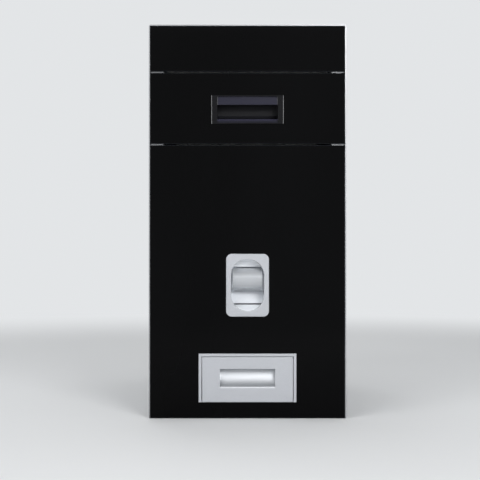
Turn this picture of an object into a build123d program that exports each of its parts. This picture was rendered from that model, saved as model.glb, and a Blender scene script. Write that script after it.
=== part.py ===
from build123d import *
from math import atan2, cos, degrees, radians, sin
import os

# Built-in grain dispenser: a glass-fronted bin that rolls out of a 300 mm kitchen cabinet on ball runners.
# A lever in the front draws one measure of grain from the hopper and drops it into a small drawer below.
# Millimetres. X runs to the right, Y to the back, Z up. The origin is the middle of the base's screw pattern,
# on the underside of the base, which stands on the cabinet floor.
# "Depth" is measured back from the glass face, and "height" up from the lower edge of the front.

# Front and its three glass panels
FRONT_WIDTH = 297.0
FRONT_HEIGHT = 592.0
FASCIA_HEIGHT = 70.4
HANDLE_PANEL_HEIGHT = 106.6
PANEL_GAP = 2.2
GLASS_THICKNESS = 5.0
GLASS_ARRIS = 0.6

# Aluminium frame behind the glass: its lip is the bright line round the front
EDGE_LIP = 1.6
LIP_GAP = 0.4
STILE_WIDTH = 21.6
STILE_DEPTH = 19.0
FRONT_CORNER = 3.2
STILE_WALL = 1.6
GROOVE_WIDTH = 1.8
GROOVE_DEPTH = 3.0
BOTTOM_RAIL_HEIGHT = 18.0

# Sheet-steel casing
FLOOR_OVERLAY = 16.0
FRONT_OVERHANG = 20.5
CASE_DEPTH = 440.0
CASE_HEIGHT = 531.0
CASE_FLOOR_GAP = 4.0
SHEET = 1.5
FRONT_FLANGE = 14.0
BACK_FLANGE = 16.0
BEAD_LENGTH = 300.0
BACK_BEAD_LENGTH = 180.0
BEAD_WIDTH = 22.0
BEAD_DEPTH = 1.5

# Ball runners, base and carriage
RAIL_LENGTH = 430.0
RAIL_HEIGHT = 45.0
RAIL_THICKNESS = 12.7
RAIL_SHEET = 1.2
OUTER_BALL = 3.2
INNER_BALL = 3.0
BALL_CLEARANCE = 0.05
BALLS_PER_CAGE = 9
CAGE_LENGTH = 196.0
CAGE_SHEET = 0.6
CAGE_WIDTH = 4.4
BASE_SHEET = 2.0
BASE_SCREW_SPACING_X = 120.0
BASE_SCREW_SPACING_Y = 360.0
BASE_SCREW_HOLE = 5.0
CARRIAGE_HALF_WIDTH = 78.0
CARRIAGE_LIFT = 6.0
RAIL_LIFT = 4.5
WING_GAP = 1.0
WING_FLANGE = 16.0

# Hopper and lid
HOPPER_WALL = 2.5
HOPPER_SIDE_GAP = 3.0
HOPPER_FRONT_GAP = 15.0
HOPPER_BACK_GAP = 15.0
HOPPER_FUNNEL_HEIGHT = 180.0
THROAT_HEIGHT = 4.0
RIM_THICKNESS = 3.0
RIM_LEDGE = 4.0
LID_HEIGHT = 12.0
LID_WALL = 2.5
LID_CORNER = 6.0
LID_SIDE_GAP = 1.0
SEAL_WIDTH = 5.0
SEAL_HEIGHT = 1.5
LID_TAB_WIDTH = 60.0
LID_TAB_REACH = 7.0
HINGE_SPACING = 140.0
HINGE_PIN = 5.0
HINGE_KNUCKLE_RADIUS = 5.0
HINGE_KNUCKLE_WIDTH = 20.0
HINGE_EAR_WIDTH = 6.0
HINGE_SIDE_GAP = 0.5
HINGE_SETBACK = 8.0
LID_REAR_GAP = 6.5

# Measuring unit
MEASURE_WIDTH = 130.0
MEASURE_LENGTH = 22.0
MEASURE_HEIGHT = 63.0
MEASURE_DEPTH = 92.0
METER_FLOOR_HEIGHT = 202.0
METER_WALL = 3.0
METER_PLATE = 2.0
METER_CLEARANCE = 0.4
SLIDE_WALL = 2.0
SHELF_FLANGE = 18.0
METER_FOOT = 12.0

# Lever
LEVER_DEPTH = 50.0
LEVER_HEIGHT = 197.0
LEVER_SWING = 24.0
CRANK_RADIUS = 64.0
CRANK_THICKNESS = 5.0
CRANK_SIDE_GAP = 1.0
CRANK_PIN = 6.0
YOKE_CLEARANCE = 0.3
YOKE_THICKNESS = 4.0
YOKE_DROP = 22.0
LEVER_SHAFT = 8.0
RUNNING_CLEARANCE = 0.05
PRESS_CLEARANCE = 0.02
HUB_RADIUS = 8.0
LEVER_ARM_WIDTH = 16.0
LEVER_ARM_THICKNESS = 8.0
PADDLE_WIDTH = 44.8
PADDLE_HEIGHT = 31.0
PADDLE_THICKNESS = 12.0
PADDLE_BULGE = 7.0
PADDLE_SET_IN = 1.5
PADDLE_DROP = -5.5
LEVER_ARM_DROP = 5.5
CLIP_THICKNESS = 1.2
CLIP_RADIUS = 7.0

# Return spring of the measuring slide
SPRING_WIRE = 1.2
SPRING_RADIUS = 4.4
SPRING_TURNS = 9
SPRING_HOLE_CLEARANCE = 0.4
SPRING_TAB = 2.0
SPRING_TAB_EDGE = 2.2

# Lever surround
LEVER_PLATE_WIDTH = 64.4
LEVER_PLATE_HEIGHT = 94.3
LEVER_PLATE_CENTRE = 200.0
LEVER_PLATE_CORNER = 8.4
LEVER_PLATE_PROUD = 2.4
LEVER_PILL_WIDTH = 49.5
LEVER_PILL_HEIGHT = 78.4
LEVER_RIM_WALL = 2.0
LEVER_CUP_DEPTH = 28.0
LEVER_FLOOR_DEPTH = 14.5
LEVER_FLOOR_RISE = 10.1
LEVER_RAMP_DEPTH = 25.0
LEVER_RAMP_RISE = 28.7
LEVER_RAMP_GROOVE = 1.2
LEVER_HOOD_DEPTH = 9.0
LEVER_HOOD_GAP = 2.0
LEVER_CUP_WALL = 2.0
LEVER_CUP_FLANGE = 8.0
LEVER_SLOT_GAP = 2.0
LEVER_SLOT_DOWN = 3.5
LEVER_SLOT_UP = 17.0

# Pull handle of the whole bin
HANDLE_FLANGE_WIDTH = 108.5
HANDLE_FLANGE_HEIGHT = 43.2
HANDLE_FLANGE_PROUD = 1.4
HANDLE_OPENING_WIDTH = 91.2
HANDLE_OPENING_HEIGHT = 39.4
HANDLE_DROP = 2.0
HANDLE_CUP_DEPTH = 27.0
HANDLE_CUP_WALL = 2.0
GRIP_PLATE_HEIGHT = 12.2
GRIP_PLATE_THICKNESS = 3.0
GRIP_PLATE_SET_IN = 1.0
HANDLE_LIP_HEIGHT = 5.0
HANDLE_LIP_THICKNESS = 2.5

# Grain drawer
TRAY_FRONT_WIDTH = 137.0
TRAY_FRONT_HEIGHT = 68.0
TRAY_FRONT_BOTTOM = 24.2
TRAY_FRONT_PROUD = 2.2
TRAY_FRONT_THICKNESS = 6.2
TRAY_FRONT_GAP = 0.7
TRAY_BEZEL_BAR = 4.3
TRAY_BEZEL_PROUD = 3.0
TRAY_BEZEL_TOE = 3.4
TRAY_BEZEL_TOE_GAP = 0.25
TRAY_GRIP_WIDTH = 83.0
TRAY_GRIP_HEIGHT = 27.6
TRAY_GRIP_RAISE = 2.4
TRAY_GRIP_DEPTH = 12.4
TRAY_GRIP_CURVE = 28.5
TRAY_GRIP_ROUND = 6.5
TRAY_GRIP_LIP = 4.5
TRAY_GRIP_WALL = 2.0
TRAY_BOX_WALL = 2.0
TRAY_BOX_LENGTH = 164.0
TRAY_BOX_HEIGHT = 60.0
TRAY_BOX_GAP = 0.6
TRAY_BOX_INSET = 2.5
SLEEVE_WALL = 1.5
SLEEVE_BACK_GAP = 4.0
CHUTE_WALL = 2.0
CHUTE_FOOT_GAP = 4.0
CHUTE_FOOT_WIDTH = 110.0

# Fasteners and pads
SCREW = 4.0
SCREW_CLEARANCE = 0.1
SCREW_HEAD = 7.6
SCREW_HEAD_HEIGHT = 2.0
SCREW_LENGTH = 5.0
RIVET = 4.0
RIVET_HEAD = 7.0
RIVET_HEAD_HEIGHT = 0.9
STILE_SCREWS = 5
RAIL_RIVETS = 4
PAD_RADIUS = 5.0
PAD_HEIGHT = 2.5
CORNER = 1.0

# Places that follow from the sizes
SIDES = (("left", -1), ("right", 1))
front_y = -CASE_DEPTH / 2 - STILE_DEPTH
case_front = -CASE_DEPTH / 2
case_back = CASE_DEPTH / 2
half_front = FRONT_WIDTH / 2
case_half = half_front - FRONT_OVERHANG
case_bottom = CASE_FLOOR_GAP
case_top = CASE_FLOOR_GAP + CASE_HEIGHT


def at_depth(depth):
    """Y of a point at this depth behind the glass face."""
    return front_y + depth


def at_height(height):
    """Z of a point at this height above the front's lower edge."""
    return height - FLOOR_OVERLAY


def block(x_span, y_span, z_span, mode=Mode.ADD):
    """A box between two X, two Y and two Z values, added to or cut from the part being built."""
    spans = (x_span, y_span, z_span)
    with Locations(tuple((low + high) / 2 for low, high in spans)):
        Box(*(high - low for low, high in spans), mode=mode)


def side_span(sign, near, far):
    """The X span from near to far on the left (sign -1) or right (sign 1)."""
    return tuple(sorted((sign * near, sign * far)))


def facing_front(y):
    """A plane at this Y that looks to the front: its own x is X and its own y is Z."""
    return Plane.XZ.offset(-y)


def facing_side(sign, x):
    """A plane at this distance to one side, looking outwards: its own x is Y and its own y is Z."""
    return Plane((sign * x, 0, 0), x_dir=(0, 1, 0), z_dir=(1, 0, 0))


def screw_hole(x_span, y, z):
    """A screw's clearance hole along X through whatever lies in this span."""
    with Locations((sum(x_span) / 2, y, z)):
        Cylinder(screw_hole_radius, x_span[1] - x_span[0], rotation=(0, 90, 0), mode=Mode.SUBTRACT)


pieces = {}
screw_hole_radius = SCREW / 2 + SCREW_CLEARANCE

# Panel heights, lowest first
main_top = FRONT_HEIGHT - FASCIA_HEIGHT - HANDLE_PANEL_HEIGHT - 2 * PANEL_GAP
handle_bottom = main_top + PANEL_GAP
handle_top = handle_bottom + HANDLE_PANEL_HEIGHT
fascia_bottom = handle_top + PANEL_GAP
glass_half = half_front - EDGE_LIP - LIP_GAP
glass_top = FRONT_HEIGHT - EDGE_LIP - LIP_GAP
glass_back = at_depth(GLASS_THICKNESS)

# Runner cross-section: the outer rail's web is at rail_out, the inner rail's at CARRIAGE_HALF_WIDTH
rail_out = CARRIAGE_HALF_WIDTH + RAIL_THICKNESS
rail_centre = RAIL_LIFT + RAIL_HEIGHT / 2
rail_top = RAIL_LIFT + RAIL_HEIGHT
outer_inside = RAIL_HEIGHT / 2 - RAIL_SHEET
middle_outside = outer_inside - OUTER_BALL
middle_inside = middle_outside - RAIL_SHEET
inner_outside = middle_inside - INNER_BALL
rail_ends = (-RAIL_LENGTH / 2, RAIL_LENGTH / 2)
middle_web = (rail_out + CARRIAGE_HALF_WIDTH) / 2
outer_reach = RAIL_THICKNESS - 1.5
middle_reach = (RAIL_THICKNESS - 3.5) / 2
inner_reach = RAIL_THICKNESS / 2 - RAIL_SHEET
wing_bottom = rail_top + WING_GAP
wing_top = wing_bottom + SHEET
pan_top = CARRIAGE_LIFT + SHEET

# Measuring unit: the slide rests under the hopper's throat and moves forward over the outlet
lever_y = at_depth(LEVER_DEPTH)
lever_z = at_height(LEVER_HEIGHT)
half_swing = radians(LEVER_SWING / 2)
slide_travel = 2 * CRANK_RADIUS * sin(half_swing)
meter_floor = at_height(METER_FLOOR_HEIGHT)
slide_bottom = meter_floor + METER_PLATE + METER_CLEARANCE
slide_top = slide_bottom + MEASURE_HEIGHT
cover_bottom = slide_top + METER_CLEARANCE
cover_top = cover_bottom + METER_PLATE
measure_half = MEASURE_WIDTH / 2
slide_half = measure_half + SLIDE_WALL
meter_inside = slide_half + METER_CLEARANCE
meter_outside = meter_inside + METER_WALL
inlet_span = (at_depth(MEASURE_DEPTH), at_depth(MEASURE_DEPTH + MEASURE_LENGTH))
outlet_span = (inlet_span[0] - slide_travel, inlet_span[1] - slide_travel)
slide_front = inlet_span[0] - SLIDE_WALL
slide_wall_back = inlet_span[1] + SLIDE_WALL
slide_back = slide_wall_back + slide_travel + SLIDE_WALL
meter_front = lever_y + HUB_RADIUS + SLIDE_WALL
meter_back_wall = slide_back + METER_CLEARANCE + SLIDE_WALL
meter_back = meter_back_wall + METER_WALL
pin_rest = (lever_y + CRANK_RADIUS * sin(half_swing), lever_z + CRANK_RADIUS * cos(half_swing))
shelf_bottom = meter_floor - SHEET
shaft_half = meter_outside + 2 * CLIP_THICKNESS
foot_outside = meter_outside + METER_FOOT
foot_screw_x = meter_outside + METER_FOOT / 2
foot_screw_y = (outlet_span[0] + SCREW, outlet_span[1] - SCREW)
foot_screws = [(sign * foot_screw_x, y) for side, sign in SIDES for y in foot_screw_y]

# Screw places on the casing's sides, as (Y, Z)
back_screw_y = case_back - SHEET - BACK_FLANGE / 2
back_screws = [(back_screw_y, case_bottom + share * CASE_HEIGHT) for share in (0.15, 0.5, 0.9)]
wing_screw_z = wing_top + WING_FLANGE / 2
wing_screws = [(share * RAIL_LENGTH, wing_screw_z) for share in (-0.4, 0.0, 0.4)]
shelf_screw_z = shelf_bottom - SHELF_FLANGE / 2
shelf_screws = [(meter_front + SCREW_HEAD, shelf_screw_z), (meter_back - SCREW_HEAD, shelf_screw_z)]
case_screws = back_screws + wing_screws + shelf_screws
stile_screw_x = case_half + FRONT_FLANGE / 2
stile_screw_z = [case_bottom + CASE_HEIGHT * (step + 0.5) / STILE_SCREWS for step in range(STILE_SCREWS)]
rivet_y = [RAIL_LENGTH * ((step + 0.5) / RAIL_RIVETS - 0.5) for step in range(RAIL_RIVETS)]


# Base frame: a steel channel that is screwed to the cabinet floor and carries the outer rails
base_half = rail_out + BASE_SHEET
base_flange_top = rail_top - BASE_SHEET
with BuildPart() as base_frame:
    block((-base_half, base_half), rail_ends, (0, BASE_SHEET))
    for side, sign in SIDES:
        block(side_span(sign, rail_out, base_half), rail_ends, (0, base_flange_top))
    with Locations((0, 0, BASE_SHEET)):
        with GridLocations(BASE_SCREW_SPACING_X, BASE_SCREW_SPACING_Y, 2, 2):
            Hole(BASE_SCREW_HOLE / 2, depth=BASE_SHEET)
    with Locations((0, 0, rail_centre)):
        for y in rivet_y:
            with Locations((0, y, 0)):
                Cylinder(RIVET / 2 + PRESS_CLEARANCE, 2 * base_half, rotation=(0, 90, 0), mode=Mode.SUBTRACT)
pieces["base_frame"] = base_frame.part

# Three rails to a runner: the outer is fixed, the middle rides on balls in it, and the inner rides in that
for side, sign in SIDES:
    with BuildPart() as outer_rail:
        block(
            side_span(sign, rail_out - RAIL_SHEET, rail_out),
            rail_ends,
            (rail_centre - RAIL_HEIGHT / 2, rail_centre + RAIL_HEIGHT / 2),
        )
        for low in (-RAIL_HEIGHT / 2, outer_inside):
            flange_low = rail_centre + low
            block(
                side_span(sign, rail_out - outer_reach, rail_out),
                rail_ends,
                (flange_low, flange_low + RAIL_SHEET),
            )
        for y in rivet_y:
            with Locations((sign * rail_out, y, rail_centre)):
                Cylinder(RIVET / 2 + PRESS_CLEARANCE, 4 * RAIL_SHEET, rotation=(0, 90, 0), mode=Mode.SUBTRACT)
    pieces[f"outer_rail_{side}"] = outer_rail.part

    with BuildPart() as middle_rail:
        block(
            side_span(sign, middle_web - RAIL_SHEET / 2, middle_web + RAIL_SHEET / 2),
            rail_ends,
            (rail_centre - middle_outside, rail_centre + middle_outside),
        )
        for low in (-middle_outside, middle_inside):
            flange_low = rail_centre + low
            block(
                side_span(sign, middle_web - middle_reach, middle_web + middle_reach),
                rail_ends,
                (flange_low, flange_low + RAIL_SHEET),
            )
    pieces[f"middle_rail_{side}"] = middle_rail.part

    with BuildPart() as inner_rail:
        block(
            side_span(sign, CARRIAGE_HALF_WIDTH, CARRIAGE_HALF_WIDTH + RAIL_SHEET),
            rail_ends,
            (rail_centre - inner_outside, rail_centre + inner_outside),
        )
        for low in (-inner_outside, inner_outside - RAIL_SHEET):
            flange_low = rail_centre + low
            block(
                side_span(sign, CARRIAGE_HALF_WIDTH, CARRIAGE_HALF_WIDTH + inner_reach),
                rail_ends,
                (flange_low, flange_low + RAIL_SHEET),
            )
        for y in rivet_y:
            with Locations((sign * CARRIAGE_HALF_WIDTH, y, rail_centre)):
                Cylinder(RIVET / 2 + PRESS_CLEARANCE, 4 * RAIL_SHEET, rotation=(0, 90, 0), mode=Mode.SUBTRACT)
    pieces[f"inner_rail_{side}"] = inner_rail.part


def ball_cages(ball, row_x, row_z):
    """Four strips of balls, one above and one below on each side, each strip one solid."""
    spacing = CAGE_LENGTH / BALLS_PER_CAGE
    with BuildPart() as cages:
        with GridLocations(2 * row_x, 0, 2, 1):
            with Locations((0, 0, rail_centre - row_z), (0, 0, rail_centre + row_z)):
                Box(CAGE_WIDTH, CAGE_LENGTH, CAGE_SHEET)
                with GridLocations(0, spacing, 1, BALLS_PER_CAGE):
                    Sphere(ball / 2 - BALL_CLEARANCE)
    return cages.part


inner_ball_x = CARRIAGE_HALF_WIDTH + RAIL_SHEET + CAGE_WIDTH / 2 - 0.4
pieces["outer_ball_cages"] = ball_cages(OUTER_BALL, middle_web, middle_outside + OUTER_BALL / 2)
pieces["inner_ball_cages"] = ball_cages(INNER_BALL, inner_ball_x, inner_outside + INNER_BALL / 2)


def rivets(web_x, sheet_x):
    """Rivets along X on both sides: they clamp a rail's web to the sheet beside it."""
    low, high = sorted((web_x, sheet_x))
    with BuildPart() as group:
        for side, sign in SIDES:
            for y in rivet_y:
                with Locations((sign * (low + high) / 2, y, rail_centre)):
                    Cylinder(RIVET / 2, high - low, rotation=(0, 90, 0))
                for head_x in (low - RIVET_HEAD_HEIGHT / 2, high + RIVET_HEAD_HEIGHT / 2):
                    with Locations((sign * head_x, y, rail_centre)):
                        Cylinder(RIVET_HEAD / 2, RIVET_HEAD_HEIGHT, rotation=(0, 90, 0))
    return group.part


pieces["base_rivets"] = rivets(rail_out - RAIL_SHEET, base_half)
pieces["carriage_rivets"] = rivets(CARRIAGE_HALF_WIDTH + RAIL_SHEET, CARRIAGE_HALF_WIDTH - SHEET)

# Carriage: a hat section that hangs between the runners, with wings that carry the casing
case_inside = case_half - SHEET
with BuildPart() as carriage:
    with BuildSketch(facing_front(rail_ends[1])):
        with BuildLine():
            Polyline(
                (-case_inside, wing_top + WING_FLANGE),
                (-case_inside, wing_bottom),
                (-CARRIAGE_HALF_WIDTH, wing_bottom),
                (-CARRIAGE_HALF_WIDTH, CARRIAGE_LIFT),
                (CARRIAGE_HALF_WIDTH, CARRIAGE_LIFT),
                (CARRIAGE_HALF_WIDTH, wing_bottom),
                (case_inside, wing_bottom),
                (case_inside, wing_top + WING_FLANGE),
                (case_inside - SHEET, wing_top + WING_FLANGE),
                (case_inside - SHEET, wing_top),
                (CARRIAGE_HALF_WIDTH - SHEET, wing_top),
                (CARRIAGE_HALF_WIDTH - SHEET, pan_top),
                (SHEET - CARRIAGE_HALF_WIDTH, pan_top),
                (SHEET - CARRIAGE_HALF_WIDTH, wing_top),
                (SHEET - case_inside, wing_top),
                (SHEET - case_inside, wing_top + WING_FLANGE),
                close=True,
            )
        make_face()
    extrude(amount=RAIL_LENGTH)
    for y in rivet_y:
        with Locations((0, y, rail_centre)):
            Cylinder(
                RIVET / 2 + PRESS_CLEARANCE,
                2 * CARRIAGE_HALF_WIDTH,
                rotation=(0, 90, 0),
                mode=Mode.SUBTRACT,
            )
    for y, z in wing_screws:
        screw_hole((-case_half, case_half), y, z)
pieces["carriage"] = carriage.part

# Casing sides: sheet with a front flange that takes the aluminium frame, and two pressed beads
for side, sign in SIDES:
    with BuildPart() as side_panel:
        block(side_span(sign, case_inside, case_half), (case_front, case_back), (case_bottom, case_top))
        block(
            side_span(sign, case_inside, case_half + FRONT_FLANGE),
            (case_front, case_front + SHEET),
            (case_bottom, case_top),
        )
        bead_centres = [(0, case_bottom + CASE_HEIGHT * share) for share in (0.22, 0.62)]
        with BuildSketch(facing_side(sign, case_half)):
            with Locations(*bead_centres):
                SlotOverall(BEAD_LENGTH, BEAD_WIDTH)
        extrude(amount=sign * BEAD_DEPTH)
        with BuildSketch(facing_side(sign, case_inside)):
            with Locations(*bead_centres):
                SlotOverall(BEAD_LENGTH - 2 * SHEET, BEAD_WIDTH - 2 * SHEET)
        extrude(amount=sign * BEAD_DEPTH, mode=Mode.SUBTRACT)
        for y, z in case_screws:
            screw_hole(side_span(sign, case_inside - SHEET, case_half + SHEET), y, z)
        for z in stile_screw_z:
            with Locations((sign * stile_screw_x, case_front, z)):
                Cylinder(screw_hole_radius, 4 * SHEET, rotation=(90, 0, 0), mode=Mode.SUBTRACT)
    pieces[f"side_panel_{side}"] = side_panel.part

# Casing back, folded forward at its sides; it ends above the runners so that they can pass under it
with BuildPart() as back_panel:
    block((-case_inside, case_inside), (case_back - SHEET, case_back), (wing_bottom, case_top))
    for side, sign in SIDES:
        block(
            side_span(sign, case_inside - SHEET, case_inside),
            (case_back - SHEET - BACK_FLANGE, case_back),
            (wing_top + WING_FLANGE + SHEET, case_top),
        )
    for y, z in back_screws:
        screw_hole((-case_half, case_half), y, z)
    bead_centres = [(0, case_bottom + CASE_HEIGHT * share) for share in (0.2, 0.4, 0.6, 0.8)]
    with BuildSketch(facing_front(case_back)):
        with Locations(*bead_centres):
            SlotOverall(BACK_BEAD_LENGTH, BEAD_WIDTH)
    extrude(amount=-BEAD_DEPTH)
    with BuildSketch(facing_front(case_back - SHEET)):
        with Locations(*bead_centres):
            SlotOverall(BACK_BEAD_LENGTH - 2 * SHEET, BEAD_WIDTH - 2 * SHEET)
    extrude(amount=-BEAD_DEPTH, mode=Mode.SUBTRACT)
pieces["back_panel"] = back_panel.part


def pan_head_screws(plane, places):
    """Pan-head screws on a plane: the heads stand on it and the shanks go in behind it."""
    with BuildPart(plane) as screws:
        with Locations(*places):
            Cylinder(SCREW_HEAD / 2, SCREW_HEAD_HEIGHT, align=(Align.CENTER, Align.CENTER, Align.MIN))
            Cylinder(SCREW / 2, SCREW_LENGTH, align=(Align.CENTER, Align.CENTER, Align.MAX))
    return screws.part


outward = {
    "left": Plane((-case_half, 0, 0), x_dir=(0, -1, 0), z_dir=(-1, 0, 0)),
    "right": facing_side(1, case_half),
}
for side, sign in SIDES:
    places = [(sign * y, z) for y, z in case_screws]
    pieces[f"case_screws_{side}"] = pan_head_screws(outward[side], places)
flange_back = Plane((0, case_front + SHEET, 0), x_dir=(-1, 0, 0), z_dir=(0, 1, 0))
places = [(sign * stile_screw_x, z) for side, sign in SIDES for z in stile_screw_z]
pieces["frame_screws"] = pan_head_screws(flange_back, places)

# Rubber pads that meet the cabinet's front edge
pad_z = (case_bottom + 2 * PAD_RADIUS, case_top - 2 * PAD_RADIUS)
with BuildPart(flange_back) as door_pads:
    with Locations(*((sign * stile_screw_x, z) for side, sign in SIDES for z in pad_z)):
        Cylinder(PAD_RADIUS, PAD_HEIGHT, align=(Align.CENTER, Align.CENTER, Align.MIN))
    fillet(door_pads.faces().sort_by(Axis.Y)[-4:].edges(), PAD_HEIGHT / 3)
pieces["door_pads"] = door_pads.part


def frame_section(outer, inner):
    """Section of the frame extrusion, outer edge first: a tube behind the glass, and a lip beside it."""
    sign = 1 if inner > outer else -1
    tube_back = at_depth(STILE_DEPTH)
    hollow = (outer + sign * (EDGE_LIP + GROOVE_WIDTH + STILE_WALL), inner - sign * STILE_WALL)
    with Locations(((outer + inner) / 2, (front_y + tube_back) / 2)):
        Rectangle(STILE_WIDTH, STILE_DEPTH)
    with Locations(((outer + inner + sign * EDGE_LIP) / 2, (front_y + glass_back) / 2)):
        Rectangle(STILE_WIDTH - EDGE_LIP, GLASS_THICKNESS, mode=Mode.SUBTRACT)
    with Locations((outer + sign * (EDGE_LIP + GROOVE_WIDTH / 2), glass_back + GROOVE_DEPTH / 2)):
        Rectangle(GROOVE_WIDTH, GROOVE_DEPTH, mode=Mode.SUBTRACT)
    with Locations((sum(hollow) / 2, (glass_back + tube_back) / 2)):
        Rectangle(abs(hollow[1] - hollow[0]), tube_back - glass_back - 2 * STILE_WALL, mode=Mode.SUBTRACT)


def round_corner(sign):
    """Rounds a top corner of the frame, seen from the front."""
    with BuildSketch(facing_front(front_y)) as waste:
        with Locations((sign * (half_front - FRONT_CORNER / 2), at_height(FRONT_HEIGHT - FRONT_CORNER / 2))):
            Rectangle(FRONT_CORNER, FRONT_CORNER)
        with Locations((sign * (half_front - FRONT_CORNER), at_height(FRONT_HEIGHT - FRONT_CORNER))):
            Circle(FRONT_CORNER, mode=Mode.SUBTRACT)
    extrude(waste.sketch, amount=-STILE_DEPTH, mode=Mode.SUBTRACT)


# Frame stiles, mitred at the top. A groove beside the lip keeps the glass edge clear
for side, sign in SIDES:
    with BuildPart() as stile:
        with BuildSketch(Plane.XY.offset(at_height(0))):
            frame_section(sign * half_front, sign * (half_front - STILE_WIDTH))
        extrude(amount=FRONT_HEIGHT)
        with BuildSketch(facing_front(front_y)):
            with BuildLine():
                Polyline(
                    (sign * half_front, at_height(0)),
                    (sign * half_front, at_height(FRONT_HEIGHT)),
                    (sign * (half_front - STILE_WIDTH), at_height(FRONT_HEIGHT - STILE_WIDTH)),
                    (sign * (half_front - STILE_WIDTH), at_height(0)),
                    close=True,
                )
            make_face()
        extrude(amount=-STILE_DEPTH, mode=Mode.INTERSECT)
        round_corner(sign)
        for z in stile_screw_z:
            with Locations((sign * stile_screw_x, at_depth(STILE_DEPTH), z)):
                Cylinder(screw_hole_radius, 3 * STILE_WALL, rotation=(90, 0, 0), mode=Mode.SUBTRACT)
    pieces[f"frame_stile_{side}"] = stile.part

# Top rail, mitred to the stiles
with BuildPart() as top_rail:
    with BuildSketch(Plane.YZ.offset(-half_front)):
        rail_back = at_depth(STILE_DEPTH)
        rail_low = at_height(FRONT_HEIGHT - STILE_WIDTH)
        with Locations(((glass_back + rail_back) / 2, rail_low + STILE_WIDTH / 2)):
            Rectangle(rail_back - glass_back, STILE_WIDTH)
            Rectangle(
                rail_back - glass_back - 2 * STILE_WALL,
                STILE_WIDTH - 2 * STILE_WALL,
                mode=Mode.SUBTRACT,
            )
        with Locations(((front_y + glass_back) / 2, at_height(FRONT_HEIGHT - EDGE_LIP / 2))):
            Rectangle(glass_back - front_y, EDGE_LIP)
    extrude(amount=FRONT_WIDTH)
    with BuildSketch(facing_front(front_y)):
        with BuildLine():
            Polyline(
                (-half_front, at_height(FRONT_HEIGHT)),
                (half_front, at_height(FRONT_HEIGHT)),
                (half_front - STILE_WIDTH, rail_low),
                (STILE_WIDTH - half_front, rail_low),
                close=True,
            )
        make_face()
    extrude(amount=-STILE_DEPTH, mode=Mode.INTERSECT)
    for side, sign in SIDES:
        round_corner(sign)
pieces["frame_top_rail"] = top_rail.part

# Bottom rail, butted between the stiles and hidden behind the glass
stile_inside = half_front - STILE_WIDTH
with BuildPart() as bottom_rail:
    with BuildSketch(Plane.YZ.offset(-stile_inside)):
        with Locations(((glass_back + at_depth(STILE_DEPTH)) / 2, at_height(BOTTOM_RAIL_HEIGHT / 2))):
            Rectangle(STILE_DEPTH - GLASS_THICKNESS, BOTTOM_RAIL_HEIGHT)
            Rectangle(
                STILE_DEPTH - GLASS_THICKNESS - 2 * STILE_WALL,
                BOTTOM_RAIL_HEIGHT - 2 * STILE_WALL,
                mode=Mode.SUBTRACT,
            )
    extrude(amount=2 * stile_inside)
pieces["frame_bottom_rail"] = bottom_rail.part


def glass_panel(low, high):
    """A glass panel between two heights, its front edges ground to a small arris."""
    block((-glass_half, glass_half), (front_y, glass_back), (at_height(low), at_height(high)))
    chamfer(faces().sort_by(Axis.Y)[0].edges(), GLASS_ARRIS)


handle_centre = (handle_bottom + handle_top) / 2 - HANDLE_DROP
handle_cup_half = HANDLE_OPENING_WIDTH / 2 + HANDLE_CUP_WALL
handle_cup_rise = HANDLE_OPENING_HEIGHT / 2 + HANDLE_CUP_WALL / 2
tray_gap_half = TRAY_FRONT_WIDTH / 2 + TRAY_FRONT_GAP
tray_front_top = TRAY_FRONT_BOTTOM + TRAY_FRONT_HEIGHT
tray_hole = (TRAY_FRONT_BOTTOM - TRAY_FRONT_GAP, tray_front_top + TRAY_FRONT_GAP)
rim_width = LEVER_PILL_WIDTH + 2 * LEVER_RIM_WALL
rim_height = LEVER_PILL_HEIGHT + 2 * LEVER_RIM_WALL

with BuildPart() as fascia_glass:
    glass_panel(fascia_bottom, glass_top)
pieces["fascia_glass"] = fascia_glass.part

with BuildPart() as handle_glass:
    glass_panel(handle_bottom, handle_top)
    block(
        (-handle_cup_half - LIP_GAP, handle_cup_half + LIP_GAP),
        (front_y - GLASS_THICKNESS, glass_back + GLASS_THICKNESS),
        (
            at_height(handle_centre - handle_cup_rise - LIP_GAP),
            at_height(handle_centre + handle_cup_rise + LIP_GAP),
        ),
        mode=Mode.SUBTRACT,
    )
pieces["handle_glass"] = handle_glass.part

with BuildPart() as main_glass:
    glass_panel(0, main_top)
    with BuildSketch(facing_front(front_y)):
        with Locations((0, at_height(LEVER_PLATE_CENTRE))):
            SlotOverall(rim_height + 2 * LIP_GAP, rim_width + 2 * LIP_GAP, rotation=90)
        with Locations((0, at_height(sum(tray_hole) / 2))):
            Rectangle(2 * tray_gap_half, tray_hole[1] - tray_hole[0])
    extrude(amount=-GLASS_THICKNESS, mode=Mode.SUBTRACT)
pieces["main_glass"] = main_glass.part

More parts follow.
